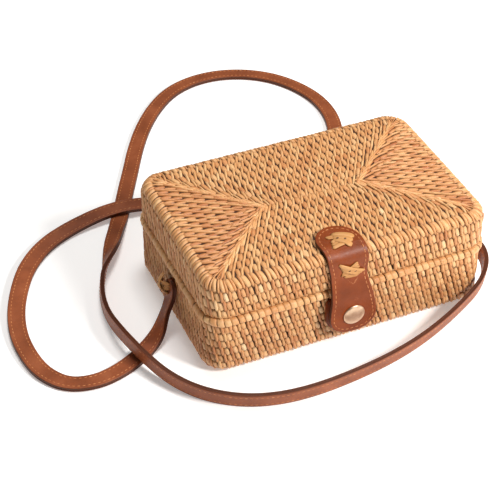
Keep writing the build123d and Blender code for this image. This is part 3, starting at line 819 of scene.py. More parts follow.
# %% [markdown]
# The basket is a coil: a thin core of grass goes round and round, and split strands bind each turn to the
# one before. Modifiers can repeat a stitch along a line, but not round corners and into mitres, so the
# places are worked out here. The turns follow a rounded rectangle, and every strand is placed by the side
# it is on, how far along that side it is, and how far it lies outside the four corner centres. On the top
# and the bottom the turns shrink to nothing and meet in mitres, as on a picture frame.

# %% The rounded rectangle that every turn follows
half_length = (base_high.x - base_low.x) / 2 / MM
half_depth = (base_high.y - base_low.y) / 2 / MM
corner = 16.0
edge_round = 7.0
side_direction = np.array([(1, 0), (0, 1), (-1, 0), (0, -1)], float)
side_normal = np.array([(0, -1), (1, 0), (0, 1), (-1, 0)], float)
side_half = np.array([half_length - corner, half_depth - corner] * 2)
side_reach = np.array([half_depth - corner, half_length - corner] * 2)
corner_arc = corner * math.pi / 2
side_span = side_half * 2 + corner_arc
side_start = np.concatenate([[0.0], np.cumsum(side_span)[:-1]])
girth = float(side_span.sum())
print("girth", round(girth), "mm")


def on_side(side, t, r):
    """Plan position and outward normal, t along a side and r outside the corner centres."""
    side, t, r = np.broadcast_arrays(side, t, r)
    limit = side_half[side] + np.minimum(r, 0.0)
    sign = np.sign(t)
    angle = np.where(r > 0, np.clip(np.abs(t) - limit, 0, corner_arc / 2) / corner, 0.0)
    along = side_direction[side]
    out = side_normal[side]
    normal = out * np.cos(angle)[..., None] + along * (sign * np.sin(angle))[..., None]
    reach = sign * np.minimum(np.abs(t), limit)
    place = out * side_reach[side][..., None] + along * reach[..., None] + normal * r[..., None]
    return place, normal


# %% Distance round the bag
def round_girth(w):
    """The side and the place along it, for a distance round the whole bag."""
    w = np.mod(w, girth)
    side = np.clip(np.searchsorted(side_start, w, "right") - 1, 0, 3)
    return side, w - side_start[side] - side_span[side] / 2


# %% [markdown]
# The other direction is the section of the wall: straight up from the seam, round the edge, then in
# across the top. The lid also turns under at the seam, where its first turn is bound over. One object
# holds the numbers of such a section, once for the lid and once, upside down, for the base.


# %% Section of the lid and of the base
class Section:
    """Distance from the seam to a point on the section. Lip is the small turn under the lid's edge."""

    def __init__(self, seam, up, height, lip, sink):
        self.seam = seam + up * lip
        self.sink = sink
        self.up = up
        self.lip = lip
        self.straight = height - edge_round - lip
        self.bend = edge_round * math.pi / 2
        self.total = self.straight + self.bend + side_reach[0] + corner - edge_round

    def at(self, s):
        """Distance outside the corner centres, height and outward normal."""
        s = np.asarray(s, float)
        turn = np.clip((s - self.straight) / edge_round, 0, math.pi / 2)
        flat = np.clip(s - self.straight - self.bend, 0, None)
        r = corner - edge_round * (1 - np.cos(turn)) - flat
        z = self.seam + self.up * (np.clip(s, 0, self.straight) + edge_round * np.sin(turn))
        out = np.cos(turn)
        rise = self.up * np.sin(turn)
        if self.lip:
            under = np.clip(-s / self.lip, 0, math.pi / 2)
            inward = np.clip(-s - self.lip * math.pi / 2, 0, None)
            r = r - self.lip * (1 - np.cos(under)) - inward
            z = z - self.up * self.lip * np.sin(under)
            out = np.where(s < 0, np.cos(under), out)
            rise = np.where(s < 0, -self.up * np.sin(under), rise)
        return r, z, out, rise

    def place(self, side, t, s, lift):
        """Points and outward directions in metres for arrays of the same shape."""
        r, z, out, rise = self.at(s)
        lift = lift - self.sink * np.abs(rise)
        plan, normal = on_side(side, t, r + out * lift)
        points = np.concatenate([plan, (z + rise * lift)[..., None] + plan[..., :1] * 0], -1)
        outward = np.concatenate([normal * out[..., None], rise[..., None] + normal[..., :1] * 0], -1)
        return points * MM, unit(outward)


lid_edge = lid_low.z / MM
lid_top = lid_high.z / MM
rim_low, rim_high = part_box("base_rim")
rim_bottom = rim_low.z / MM
lid_section = Section(lid_edge, 1, lid_top - lid_edge, 1.6, 0.0)
base_section = Section(rim_bottom, -1, rim_bottom, 0.0, 0.5)
print("section lengths", round(lid_section.total, 1), round(base_section.total, 1), "mm")

# %% [markdown]
# Behind the strands lies the core of the coil, which is seen only in the gaps, so it is coloured dark as
# painted shade. It is a plain shell inside the weave, swept round the same rectangle, so the light never
# shines through. Along the back of the lid its lower edge stops short, because the lashings of the hinge
# pass there.

# %% Places round one turn
core_out = -1.25
core_in = -4.2
hinge_room = -3.4


def turn_places():
    """Sides and places along them, for one turn that is finely divided at the corners."""
    sides = []
    places = []
    for side in range(4):
        half = side_half[side]
        arc = corner_arc / 2
        ends = half + np.linspace(0, arc, 5)
        straight = np.linspace(-half, half, 13)
        t = np.concatenate([-ends[:0:-1], straight, ends[1:-1]])
        sides.append(np.full(len(t), side))
        places.append(t)
    return np.concatenate(sides), np.concatenate(places)


print("places round a turn", len(turn_places()[0]))


def paint_shaded_core(obj, points):
    """The values that the grass material reads, for a piece seen only in the gaps, with a painted shade
    over it.
    """
    store(obj, "tone", np.full(len(points), 0.4))
    store(obj, "depth", np.full(len(points), 0.6))
    store(obj, "strand", points / MM * 0.3)


# %% Dark shells behind the strands
def shell_mesh(name, section, first, material):
    """A closed shell: out along the section, then back along its inner face."""
    sides, places = turn_places()
    bend = section.straight + np.linspace(0, section.bend, 7)
    across_top = section.straight + section.bend + np.array([9.0, 30.0, 57.9])
    outer = np.concatenate([[first], bend, across_top])
    ring_s = np.concatenate([outer, outer[::-1]])
    ring_lift = np.concatenate([np.full(len(outer), core_out), np.full(len(outer), core_in)])
    rings = []
    for s, lift in zip(ring_s, ring_lift):
        if s == first and section.up > 0:
            lift = np.where(sides == 2, min(lift, hinge_room), lift)
        points, _ = section.place(sides, places, np.full(len(sides), s), lift)
        rings.append(points)
    n = len(sides)
    index = np.arange(len(rings) * n).reshape(len(rings), n)
    neighbours = [(k, k + 1) for k in range(len(rings) - 1) if k != len(outer) - 1]
    faces = []
    for before, after in [*neighbours, (-1, 0)]:
        a = index[before]
        b = index[after]
        faces += np.stack([a, np.roll(a, -1), np.roll(b, -1), b], -1).tolist()
    obj = mesh_object(name, np.concatenate(rings), faces, material)
    paint_shaded_core(obj, np.concatenate(rings))
    return obj


lid_core = shell_mesh("lid_core", lid_section, -2.6, shade_core_paint)
base_core = shell_mesh("base_core", base_section, -1.0, shade_core_paint)
for piece, body, shell in ((lid_core, "lid", "lid_shell"), (base_core, "base", "base_shell")):
    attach(piece, body)
    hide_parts(shell)
print("core shells", len(lid_core.data.polygons), len(base_core.data.polygons), "faces")

# %% [markdown]
# Going round, each turn repeats one cell 109 times: a broad strand that looks like a small cushion, and
# beside it a narrow strand that runs over the joint of two turns. The cells step aside from one turn to
# the next, so the narrow strands line up into slanted ropes. A cushion comes out from under the turn
# above, which leaves a gap along its upper end and its right side, and both are darkened by painted shade.
# Real grass is never even, so every strand is a little off in place, width, height and tone, from a fixed
# seed.

# %% Values of the weave
chance = np.random.default_rng(11)
columns = 109
cell = girth / columns
lean = 0.32  # how far the columns step round the bag for each millimetre up
rope_lean = 0.16  # the same for the narrow strands
# Painted shade: the left wall's strands are made narrower, so more of the dark-painted core shows and that
# side looks shaded.
left_shade_narrowing = 0.9  # the left wall's strands are thinner and show more of the dark between them
wander = 0.16  # how far a strand strays from its place, in millimetres
unevenness = 0.07  # how much the widths differ, as a share
pad_steps = np.array([0.0, 0.07, 0.41, 0.72, 0.82, 0.88])
rope_steps = np.linspace(-0.26, 1.26, 6)
print("one cell is", round(cell, 2), "mm wide")


def jitter(count, amount):
    """One small random value for each strand."""
    return chance.normal(0.0, amount, count)[:, None]


def mirrored(section):
    """The same section, left for right."""
    return [(-a, b, shade) for a, b, shade in reversed(section)]


def tones_of(count, tone, pink, spread=0.08):
    """Each strand's own tone, and how pink it is."""
    tones = tone + chance.normal(0, spread, count)
    return tones, np.clip(pink + chance.normal(0, 0.2, count), 0, 1)


def column_places(section, s):
    """Where each column starts, as a distance round the bag, at a place on the section."""
    return np.arange(columns) * cell - section.up * lean * s


# %% Shapes of the strands along their length
def bow_of(v):
    """0 at the middle of a strand and 1 at both ends."""
    return np.abs(2 * (v - v[0]) / (v[-1] - v[0]) - 1)


def wall_pad(upper, bow):
    """A cushion on the wall: its lift, its share of the full width, and its painted shadow.

    The roof is where it goes in under the turn above, and the foot is its lower end.
    """
    roof = np.clip((upper - 0.72) / 0.18, 0, 1) ** 2
    foot = np.clip((0.08 - upper) / 0.08, 0, 1)
    return -0.85 - 1.1 * roof - 0.50 * foot, 1 - 0.12 * bow**3, 0.95 * roof + 0.30 * foot


def wall_rope(bow):
    """A narrow strand on the wall: its lift, its share of the full width, and its painted shadow."""
    return -0.32 - 1.2 * bow**6, 1 - 0.35 * bow**4, 0.55 * bow**8


def field_pad(bow):
    """A cushion on a flat field: its lift, its share of the full width, and its painted shadow."""
    return -0.88 - 0.3 * bow**4, 1 - 0.12 * bow**3, 0.35 * bow**5


def field_rope(bow):
    """A narrow strand on a flat field: its lift, its share of the full width, and its painted shadow."""
    return -0.42 - 1.5 * bow**4, 1 - 0.60 * bow**2.5, 0.6 * bow**5


# %% One turn of the walls or of the rounded edge
def wall_steps(section, kind, edge):
    """The places along one strand, as shares of the turn's height."""
    if edge:
        return np.linspace(-0.02, 1.02, 8) if kind == "pad" else np.linspace(-0.12, 1.1, 8)
    if kind == "rope":
        return rope_steps
    return pad_steps if section.up > 0 else 1 - pad_steps[::-1]


def wall_row(bundle, section, s_start, s_end, squeeze=1.0, edge=False):
    """Cells round the whole bag. Edge is the long plain row that goes over the rounded edge."""
    middle = (s_start + s_end) / 2
    r_middle = float(section.at(middle)[0])
    start = column_places(section, middle)
    for kind, centre, half in (("pad", 0.31, 1.72), ("rope", 0.83, 1.14)):
        v = wall_steps(section, kind, edge)
        upper = v if section.up > 0 else 1 - v
        s = s_start + (s_end - s_start) * v[None, :] + jitter(columns, 0.15)
        slant = lean if kind == "pad" else rope_lean
        w = start[:, None] + cell * centre - section.up * slant * (s - middle) + jitter(columns, wander)
        side, t = round_girth(w)
        in_corner = np.abs(t) > side_half[side]
        narrow = np.where(in_corner, np.clip(r_middle / corner, 0.25, 1.0), 1.0)
        narrow = narrow * np.where((side == 3) & (not edge), left_shade_narrowing, 1.0)
        bow = bow_of(v)
        if kind == "pad":
            lift, share, low = wall_pad(upper, bow)
            thick = 1.25
            shape = pad_section if section.up > 0 else mirrored(pad_section)
            tones, pink = tones_of(columns, 0.68, 0.22)
        else:
            lift, share, low = wall_rope(bow)
            thick = 1.2
            shape = round_section
            tones, pink = tones_of(columns, 0.50, 0.22)
        if edge:
            lift = -0.55 - 0.9 * bow**5
            # Painted shadow at both ends of the strands over the rounded edge.
            low = 0.4 * bow**8
            tones = tones * 0.5 + 0.29
        points, outward = section.place(side, t, s, lift[None, :] + jitter(columns, 0.08))
        width = half * share
        width = width[None, :] * squeeze * narrow * (1 + jitter(columns, unevenness))
        bundle.add(points, outward, width * MM, thick * MM, tones, pink, low[None, :] + 0 * s, shape)


# %% [markdown]
# On the top and the bottom the columns go on, but the turns get shorter and are cut off at the mitres.
# The narrow strands are nearly two turns long there and slant across the columns, so each one leaves a
# small wedge beside its lower end where the dark-painted core shows. Near a mitre the strands lean over
# until they run along it, like a fan. The two end fields get darker tones than the long ones as painted
# shade, and on the back field the section is mirrored, which moves the painted shadow to the other side of
# each pad.

# %% One turn of the flat fields
fan_width = 9.0
fan_slope = 0.85
field_slant = 0.34
long_steps = np.linspace(-0.38, 1.38, 7)
tile_steps = np.array([-0.05, 0.05, 0.35, 0.65, 0.95, 1.05])


def field_row(bundle, section, s_start, s_end):
    """Cells of one turn on a flat top or bottom, side by side."""
    s_middle = (s_start + s_end) / 2
    r_middle = float(section.at(s_middle)[0])
    for kind, centre, half in (("pad", 0.38, 1.80), ("rope", 0.84, 1.08)):
        for side in range(4):
            across = 1 - centre if side == 2 else centre
            on, place = round_girth(column_places(section, s_middle) + cell * across)
            reach = side_half[side] + (r_middle if r_middle < 0 else corner_arc / 2 + 0.6)
            middle = place[(on == side) & (np.abs(place) < reach - 0.6)]
            n = len(middle)
            if n == 0:
                continue
            v = tile_steps if kind == "pad" else long_steps
            s = s_start + (s_end - s_start) * v[None, :] + jitter(n, 0.15)
            inward = s - s_middle
            fan = np.exp(-np.clip(reach - np.abs(middle), 0, None) / fan_width)[:, None]
            slant = 0.05 if kind == "pad" else field_slant
            slope = slant * section.up * (1 - fan) - np.sign(middle)[:, None] * fan * fan_slope
            t = middle[:, None] + slope * inward + jitter(n, wander)
            bow = bow_of(v)
            # Painted shade: the two end fields get darker tones and narrower pads than the long fields.
            end_field = side % 2
            if kind == "pad":
                lift, share, low = field_pad(bow)
                width = half * share * (0.84 if end_field else 1.0)
                # The back field's section is mirrored, which moves the painted shadow to the other side of
                # each pad.
                shape = tile_section if side != 2 else mirrored(tile_section)
                tones, pink = tones_of(n, 0.44 if end_field else 0.59, 0.38)
            else:
                lift, share, low = field_rope(bow)
                width = half * share
                shape = round_section
                tones, pink = tones_of(n, 0.50 if end_field else 0.64, 0.08)
            on = np.full(s.shape, side)
            here = lift[None, :] + jitter(n, 0.08)
            furthest = section.total + (0.2 if kind == "pad" else 2.4)
            points, outward = section.place(on, t, np.minimum(s, furthest), here)
            turn_in = np.where(np.abs(t) > side_half[side], np.clip(r_middle / corner, 0.25, 1.0), 1.0)
            width = width[None, :] * (1 - 0.3 * fan) * turn_in * (1 + jitter(n, unevenness))
            bundle.add(points, outward, width * MM, 1.2 * MM, tones, pink, low[None, :] + 0 * s, shape)


# %% Ropes along the mitres
mitre_strand = 9.5


def mitre_ropes(bundle, section, height):
    """Short strands laid along each mitre, where the fans of two fields meet."""
    up = np.array([0.0, 0.0, section.up])
    for sx in (-1, 1):
        for sy in (-1, 1):
            start = np.array([sx * side_half[0], sy * side_reach[0], height])
            end = np.array([sx * (side_half[0] - side_reach[0]), 0.0, height])
            run = end - start
            length = np.linalg.norm(run)
            heading = run / length
            beside = np.array([-heading[1], heading[0], 0.0])
            count = 34
            place = np.linspace(-0.04, 1.0, count)
            v = np.linspace(-0.5, 0.5, 6)
            offset = np.tile([-0.9, 0.0, 0.9], count)[:count][:, None] + jitter(count, 0.25)
            spread = np.tile([0.22, 0.0, -0.22], count)[:count][:, None]
            along = place[:, None] * length + v[None, :] * mitre_strand
            across = offset + spread * v[None, :] * mitre_strand
            bow = np.abs(2 * v)
            lift = (-0.35 - 1.3 * bow**4)[None, :] + jitter(count, 0.12)
            points = start + along[..., None] * heading + across[..., None] * beside
            points = points + lift[..., None] * up
            outward = np.broadcast_to(up, points.shape)
            tones, pink = tones_of(count, 0.58, 0.12)
            width = 0.95 * (1 + jitter(count, 0.1)) * (1 - 0.5 * bow**3)[None, :]
            bundle.add(points * MM, outward, width * MM, 1.1 * MM, tones, pink)


# %% [markdown]
# Now the turns are counted out. The lid has three turns of cells on its wall, one long row over the
# rounded edge, and the rest on the top. Under its lip a last short turn is tucked in, which is seen when
# the lid opens. The base goes straight down from the rim, round and in across the bottom. Each weave is
# one mesh.


# %% Weave of the lid
def even_rows(start, end, pitch):
    """Boundaries of rows with a whole number of pitches."""
    return np.linspace(start, end, max(1, round((end - start) / pitch)) + 1)


lid_row_pitch = 7.2
row_pitch = 6.1
edge_row = 10.2
wall_rows = 3
lid_walls = np.arange(wall_rows + 1.0) * lid_row_pitch - lid_section.lip
lid_flat = even_rows(lid_walls[-1] + edge_row, lid_section.total, row_pitch)
lid_rows = np.concatenate([lid_walls, lid_flat])
lid_bundle = Bundle()
for number, (s_start, s_end) in enumerate(zip(lid_rows[:-1], lid_rows[1:])):
    if number <= wall_rows:
        wall_row(lid_bundle, lid_section, s_start, s_end, edge=number == wall_rows)
    else:
        field_row(lid_bundle, lid_section, s_start, s_end)
mitre_ropes(lid_bundle, lid_section, lid_top)
wall_row(lid_bundle, lid_section, -5.6, -0.9, squeeze=1.25)
lid_weave = lid_bundle.build("lid_weave", grass)
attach(lid_weave, "lid")
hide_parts("lid_shell")

# %% Weave of the base
base_rows = even_rows(0.0, base_section.total, row_pitch)
base_bundle = Bundle()
for s_start, s_end in zip(base_rows[:-1], base_rows[1:]):
    if base_section.at((s_start + s_end) / 2)[0] > 0:
        wall_row(base_bundle, base_section, s_start, s_end)
    else:
        field_row(base_bundle, base_section, s_start, s_end)
base_weave = base_bundle.build("base_weave", grass)
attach(base_weave, "base")
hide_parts("base_shell")

# %% [markdown]
# The rim is one thick turn, bound with flat strands side by side. Each strand goes round the coil from
# the inside of the wall, over the top and down to the outside, and the strands fan out round the corners.
# A twisted texture on a tube would look the same from afar, but not along the seam, where it is seen edge
# on.

# %% Places round the rim
rim_radius = 3.0
rim_middle = (rim_bottom + rim_high.z / MM) / 2
rim_reach = corner + (rim_high.x - base_high.x) / MM - rim_radius
wrap_pitch = 4.5
wrap_lean = 2.4


def rim_turn(w, angle, radius):
    """A point round the rim's coil. The angle is 0 outside and 90 degrees on top."""
    side, t = round_girth(w)
    plan, normal = on_side(side, t, np.full(np.shape(w), rim_reach) + radius * np.cos(angle))
    z = rim_middle + radius * np.sin(angle)
    points = np.concatenate([plan, z[..., None]], -1)
    outward = np.concatenate([normal * np.cos(angle)[..., None], np.sin(angle)[..., None]], -1)
    return points * MM, outward


# %% Strands round the rim
rim_bundle = Bundle()
wraps = round(girth / wrap_pitch)
turn = np.radians(np.linspace(-80, 200, 10))[None, :] + 0 * jitter(wraps, 1.0)
lean_round = np.linspace(-0.5, 0.5, 10)[None, :] * wrap_lean
w = np.arange(wraps)[:, None] * (girth / wraps) - lean_round + jitter(wraps, 0.25)
wrap_radius = rim_radius - 0.45 + jitter(wraps, 0.12)
rim_points, rim_outward = rim_turn(w, turn, wrap_radius + 0 * turn)
tones, pink = tones_of(wraps, 0.64, 0.12)
width = 2.15 * (1 + jitter(wraps, 0.06)) + 0 * turn
rim_bundle.add(rim_points, rim_outward, width * MM, 0.85 * MM, tones, pink, section=flat_section)
rim_wraps = rim_bundle.build("rim_wraps", grass)
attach(rim_wraps, "base")
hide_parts("base_rim")

# %% Core of the rim
core_sides, core_places = turn_places()
core_angles = np.radians(np.linspace(-90, 210, 11))
core_w = side_start[core_sides] + side_span[core_sides] / 2 + core_places
core_round = core_w[:, None] + 0 * core_angles
core_turn = core_angles + 0 * core_round
core_points, _ = rim_turn(core_round, core_turn, rim_radius - 0.95 + 0 * core_round)
ring = np.arange(core_points[..., 0].size).reshape(core_points.shape[:2])
beyond = np.roll(ring, -1, 0)
core_faces = np.stack([ring, beyond, np.roll(beyond, -1, 1), np.roll(ring, -1, 1)], -1)
core_faces = core_faces.reshape(-1, 4).tolist()
rim_core = mesh_object("rim_core", core_points.reshape(-1, 3), core_faces, shade_core_paint)
paint_shaded_core(rim_core, core_points.reshape(-1, 3))
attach(rim_core, "base")
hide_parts("base_rim")
print("rim", wraps, "wraps")

# %% [markdown]
# The closure tab is two layers of leather, sewn all round. It is tied to the lid, bends over the front
# edge and hangs over the seam down to the press stud. The CAD has it in two halves that turn on a line,
# but the leather is one piece, so it is one mesh here. Its shape is given as a flat pattern, as
# a leather worker cuts it, and a line in the side view says how the pattern is bent.

# %% The line that the tab follows, seen from the side
tab_corners = ((-39.5, 74.2), (-65.2, 74.2), (-65.2, 54.8), (-70.4, 40.5), (-70.4, 14.0))
tab_bends = (7.2, 18.0, 18.0)
tab_thickness = 2.4


def rounded_line(corners, radii, pitch=0.4):
    """Points at an even pitch on straight runs joined by arcs, each with its outward direction."""
    corners = [Vector(c) for c in corners]
    points = [corners[0]]
    for before, here, after, radius in zip(corners, corners[1:], corners[2:], radii):
        come = (here - before).normalized()
        go = (after - here).normalized()
        turn = come.angle_signed(go)
        setback = radius * math.tan(abs(turn) / 2)
        first = here - come * setback
        side = Vector((-come.y, come.x)) * (-1 if turn > 0 else 1)
        centre = first + side * radius
        steps = max(2, int(abs(turn) * radius / pitch))
        for k in range(steps + 1):
            spoke = Matrix.Rotation(-turn * k / steps, 2) @ (first - centre)
            points.append(centre + spoke)
    points.append(corners[-1])
    points = np.array([tuple(p) for p in points])
    travel = np.concatenate([[0], np.cumsum(np.linalg.norm(np.diff(points, axis=0), axis=1))])
    return points, travel


tab_line, tab_travel = rounded_line(tab_corners, tab_bends)
tab_length = tab_travel[-1]
print("tab", round(tab_length, 1), "mm long")


def tab_point(distance, lift):
    """A point in the side view, lifted off the inner face, and its outward direction."""
    y, z = (np.interp(distance, tab_travel, tab_line[:, k]) for k in (0, 1))
    y_before, z_before = (np.interp(distance - 0.3, tab_travel, tab_line[:, k]) for k in (0, 1))
    y_after, z_after = (np.interp(distance + 0.3, tab_travel, tab_line[:, k]) for k in (0, 1))
    dy = y_after - y_before
    dz = z_after - z_before
    size = np.hypot(dy, dz)
    out_y = dz / size
    out_z = -dy / size
    return y + out_y * lift, z + out_z * lift, out_y, out_z


# %% Outline of the tab
tab_top_radius = 14.75
tab_bottom_radius = 12.5
tab_widths = ((0.0, 29.5), (14.7, 29.5), (25.7, 28.5), (40.0, 25.5), (72.9, 33.0), (90.0, 33.0))
tab_fold_at = 25.7
tab_fold_x = -5.9
tab_lean = 0.065


def tab_centre(distance):
    """The tab leans a little to the right on its way down."""
    return tab_fold_x + tab_lean * (distance - tab_fold_at)


def tab_half_width(distance):
    """Half the width: round at the top, waisted at the seam, and with round corners at the bottom."""
    half = smooth_keys(tab_widths, distance) / 2
    top = np.clip(distance, 0, tab_top_radius)
    half = half - tab_top_radius + np.sqrt(tab_top_radius**2 - (tab_top_radius - top) ** 2)
    low = np.clip(tab_length - distance, 0, tab_bottom_radius)
    return half - tab_bottom_radius + np.sqrt(tab_bottom_radius**2 - (tab_bottom_radius - low) ** 2)


def on_tab(across, distance, lift):
    """A place on the tab, given in its own flat pattern, as a point in metres and an outward direction."""
    y, z, out_y, out_z = tab_point(distance, lift)
    points = np.stack([tab_centre(distance) + across, y, z], -1) * MM
    return points, np.stack([np.zeros_like(y), out_y, out_z], -1)


def place_on_tab(obj):
    """Bake the piece's placement into its mesh."""
    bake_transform(obj)


# %% Leather of the tab
share = (1 - np.cos(np.linspace(0, math.pi, 170))) / 2
tab_at = share * tab_length
tab_half = np.maximum(tab_half_width(tab_at), 1.3)
tab_middle, tab_out = on_tab(np.zeros_like(tab_at), tab_at, 0.0)
tab_across = np.tile([1.0, 0.0, 0.0], (len(tab_at), 1))
tab_loops = np.stack([two_layer_loop(h * MM, tab_thickness * MM) for h in tab_half])
tab_leather = band_mesh("closure_tab", tab_middle, tab_across, tab_out, tab_loops, leather)
place_on_tab(tab_leather)
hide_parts("tab_anchor_inner", "tab_anchor_outer", "tab_flap_inner", "tab_flap_outer")
print("tab faces", len(tab_leather.data.polygons))

# %% [markdown]
# Both the tab and the strap are edged with a row of thick thread. A dashed line could be painted on, but
# a thread stands up from the leather and has its own small shadow. Each stitch is a short strand that
# dips into the leather at both ends, laid at an even pitch along a line inside the edge.


# %% Stitches
def dash_line(bundle, points, outward, pitch, dash, thickness, lift):
    """Stitches along a line of points, each with its outward direction."""
    travel = np.concatenate([[0], np.cumsum(np.linalg.norm(np.diff(points, axis=0), axis=1))])
    count = int(travel[-1] / pitch)
    v = np.linspace(-0.5, 0.5, 5)
    at = (np.arange(count)[:, None] + 0.5) * travel[-1] / count + v[None, :] * dash
    centres = np.stack([np.interp(at, travel, points[:, k]) for k in range(3)], -1)
    out = unit(np.stack([np.interp(at, travel, outward[:, k]) for k in range(3)], -1))
    rise = (lift - thickness * 0.9 * np.abs(2 * v) ** 4)[None, :, None]
    tones = 0.5 + chance.normal(0, 0.12, count)
    bundle.add(centres + out * rise, out, thickness, thickness, tones)
    return count


# %% Stitches of the tab
outline_at = np.concatenate([tab_at, tab_at[::-1]])
outline_side = np.concatenate([np.ones(len(tab_at)), -np.ones(len(tab_at))])
outline_x = tab_centre(outline_at) + outline_side * tab_half_width(outline_at)
stitch_inset = 2.5
run_x = np.gradient(outline_x)
run_d = np.gradient(outline_at)
run_size = np.hypot(run_x, run_d) + 1e-9
stitch_x = outline_x - run_d / run_size * stitch_inset
stitch_at = outline_at + run_x / run_size * stitch_inset
stitch_points, stitch_out = on_tab(stitch_x - tab_centre(stitch_at), stitch_at, tab_thickness)
tab_bundle = Bundle()
tab_stitches = dash_line(tab_bundle, stitch_points, stitch_out, 3.4 * MM, 2.5 * MM, 0.3 * MM, 0.12 * MM)
tab_thread = tab_bundle.build("tab_thread", thread)
place_on_tab(tab_thread)
print("tab stitches", tab_stitches)

# %% Stitches of the strap
strap_inset = 2.3 * MM
strap_bundle = Bundle()
for face in (-1, 1):
    for side in (-1, 1):
        from_middle = side * (strap_width / 2 - strap_inset)
        line = strap_path + strap_across * from_middle + strap_outward * (face * strap_thickness / 2)
        line = line[6:-6]
        line_out = strap_outward[6:-6] * face
        dash_line(strap_bundle, line, line_out, 3.3 * MM, 2.3 * MM, 0.28 * MM, 0.08 * MM)
strap_thread = strap_bundle.build("strap_thread", thread)
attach(strap_thread, "base")

# %% [markdown]
# Strands of flat grass are pushed through the leather and the basket and crossed outside, which holds the
# tab and the strap. Each knot is three bands of split grass that cross over each other, with ends cut to
# a slant, and small spots painted dark as the shade in the holes where the strands go in. They could be
# sculpted, but as bands between corner points the same helper makes all four, on the curved tab and on the
# flat walls.


# %% Helper for the knots
def knot(bundle, surface, bands):
    """A band is its left edge, its right edge, how far it rises and its tone. Surface places a point."""
    v = np.linspace(0, 1, 11)
    strips = 3
    for left, right, rise, tone in bands:
        left = np.array(left)
        right = np.array(right)
        for k in range(strips):
            share = (k + 0.5) / strips
            start = left[0] * (1 - share) + right[0] * share
            end = left[1] * (1 - share) + right[1] * share
            wave = 0.18 * math.sin(2.3 * k + tone * 40)
            run = start + (end - start) * v[:, None]
            a = run[:, 0]
            b = run[:, 1] + wave * np.sin(v * math.pi)
            bow = np.abs(2 * v - 1)
            lift = 0.3 + rise * (1 - bow**2.4) + 0.12 * math.sin(4.0 * k + tone * 20)
            breadth = np.linalg.norm(left[0] - right[0]) * (1 - v) + np.linalg.norm(left[1] - right[1]) * v
            half = breadth / strips * 0.60 * np.clip(np.minimum(v, 1 - v) / 0.06, 0.55, 1.0)
            points, outward = surface(a, b, lift)
            one = np.array([tone + 0.06 * math.sin(5.0 * k)])
            bundle.add(points[None], outward[None], half[None] * MM, 0.5 * MM, one, section=flat_section)


# %% Helper for the holes
def pin_holes(bundle, surface, places, size):
    """Small spots painted dark as the shade in the holes where a strand goes in."""
    for a, b, proud in places:
        along = np.array([-0.5, -0.2, 0.2, 0.5]) * size
        points, outward = surface(a + along, b + along * 0.3, np.full(4, proud))
        half = np.array([0.3, 1.0, 1.0, 0.3]) * size * 0.42
        bundle.add(points[None], outward[None], half[None] * MM, 0.25 * MM, np.array([-0.4]), depth=1.0)


# %% Knots on the tab
upper_knot_at = 15.5
lower_knot_at = 35.0
knot_aside = 1.6


def on_upper(a, b, lift):
    """Places round the upper knot, across and towards the back of the bag."""
    return on_tab(a + knot_aside, upper_knot_at - b, tab_thickness + lift)


def on_lower(a, b, lift):
    """Places round the lower knot, across and up."""
    return on_tab(a + knot_aside, lower_knot_at - b, tab_thickness + lift)


upper_bands = (
    (((-8.8, 6.2), (1.0, 6.4)), ((-8.0, 3.6), (1.0, 1.4)), 0.3, 0.60),
    (((-7.4, 0.6), (4.0, 4.4)), ((-9.8, -5.6), (3.0, -4.4)), 0.6, 0.68),
    (((-3.4, 8.4), (9.8, 1.6)), ((-6.4, 0.4), (2.2, -7.0)), 1.3, 0.74),
)
lower_bands = (
    (((-6.4, 1.6), (6.4, -1.2)), ((-5.2, -5.4), (3.8, -6.4)), 0.3, 0.60),
    (((-6.4, -0.4), (3.9, 5.8)), ((-7.8, -3.8), (5.6, 0.4)), 0.6, 0.68),
    (((-9.2, 7.0), (9.6, -2.6)), ((-6.4, 0.8), (4.6, -5.6)), 1.3, 0.74),
)
for name, surface, bands, holes in (
    ("tab_knot_top", on_upper, upper_bands, ((-2.6, 1.2, 1.85), (1.4, -1.2, 1.85))),
    ("tab_knot_front", on_lower, lower_bands, ((-2.2, 0.6, 1.85), (1.9, -0.6, 1.85))),
):
    bundle = Bundle()
    knot(bundle, surface, bands)
    pin_holes(bundle, surface, holes, 1.5)
    made = bundle.build(name, straw)
    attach(made, "lid")
    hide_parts("tab_knot_upper" if name == "tab_knot_top" else "tab_knot_lower")

# %% Knots on the strap
knot_low, knot_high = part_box("strap_knot_left")
left_face = -(strap_thickness / MM + half_length + 0.3)


def on_left(a, b, lift):
    """Places round the left strap knot: towards the front and up."""
    y = (knot_low.y + knot_high.y) / 2 / MM + 4.6 - a * 1.15
    z = (knot_low.z + knot_high.z) / 2 / MM + b * 1.1
    x = np.full_like(y, left_face) - lift * 1.3
    return np.stack([x, y, z], -1) * MM, np.tile([-1.0, 0.0, 0.0], (len(y), 1))


right_low, right_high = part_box("strap_knot_right")


def on_right(a, b, lift):
    """Places round the right strap knot: towards the back and up."""
    y = (right_low.y + right_high.y) / 2 / MM + a
    z = (right_low.z + right_high.z) / 2 / MM + b
    x = np.full_like(y, -left_face) + lift
    return np.stack([x, y, z], -1) * MM, np.tile([1.0, 0.0, 0.0], (len(y), 1))


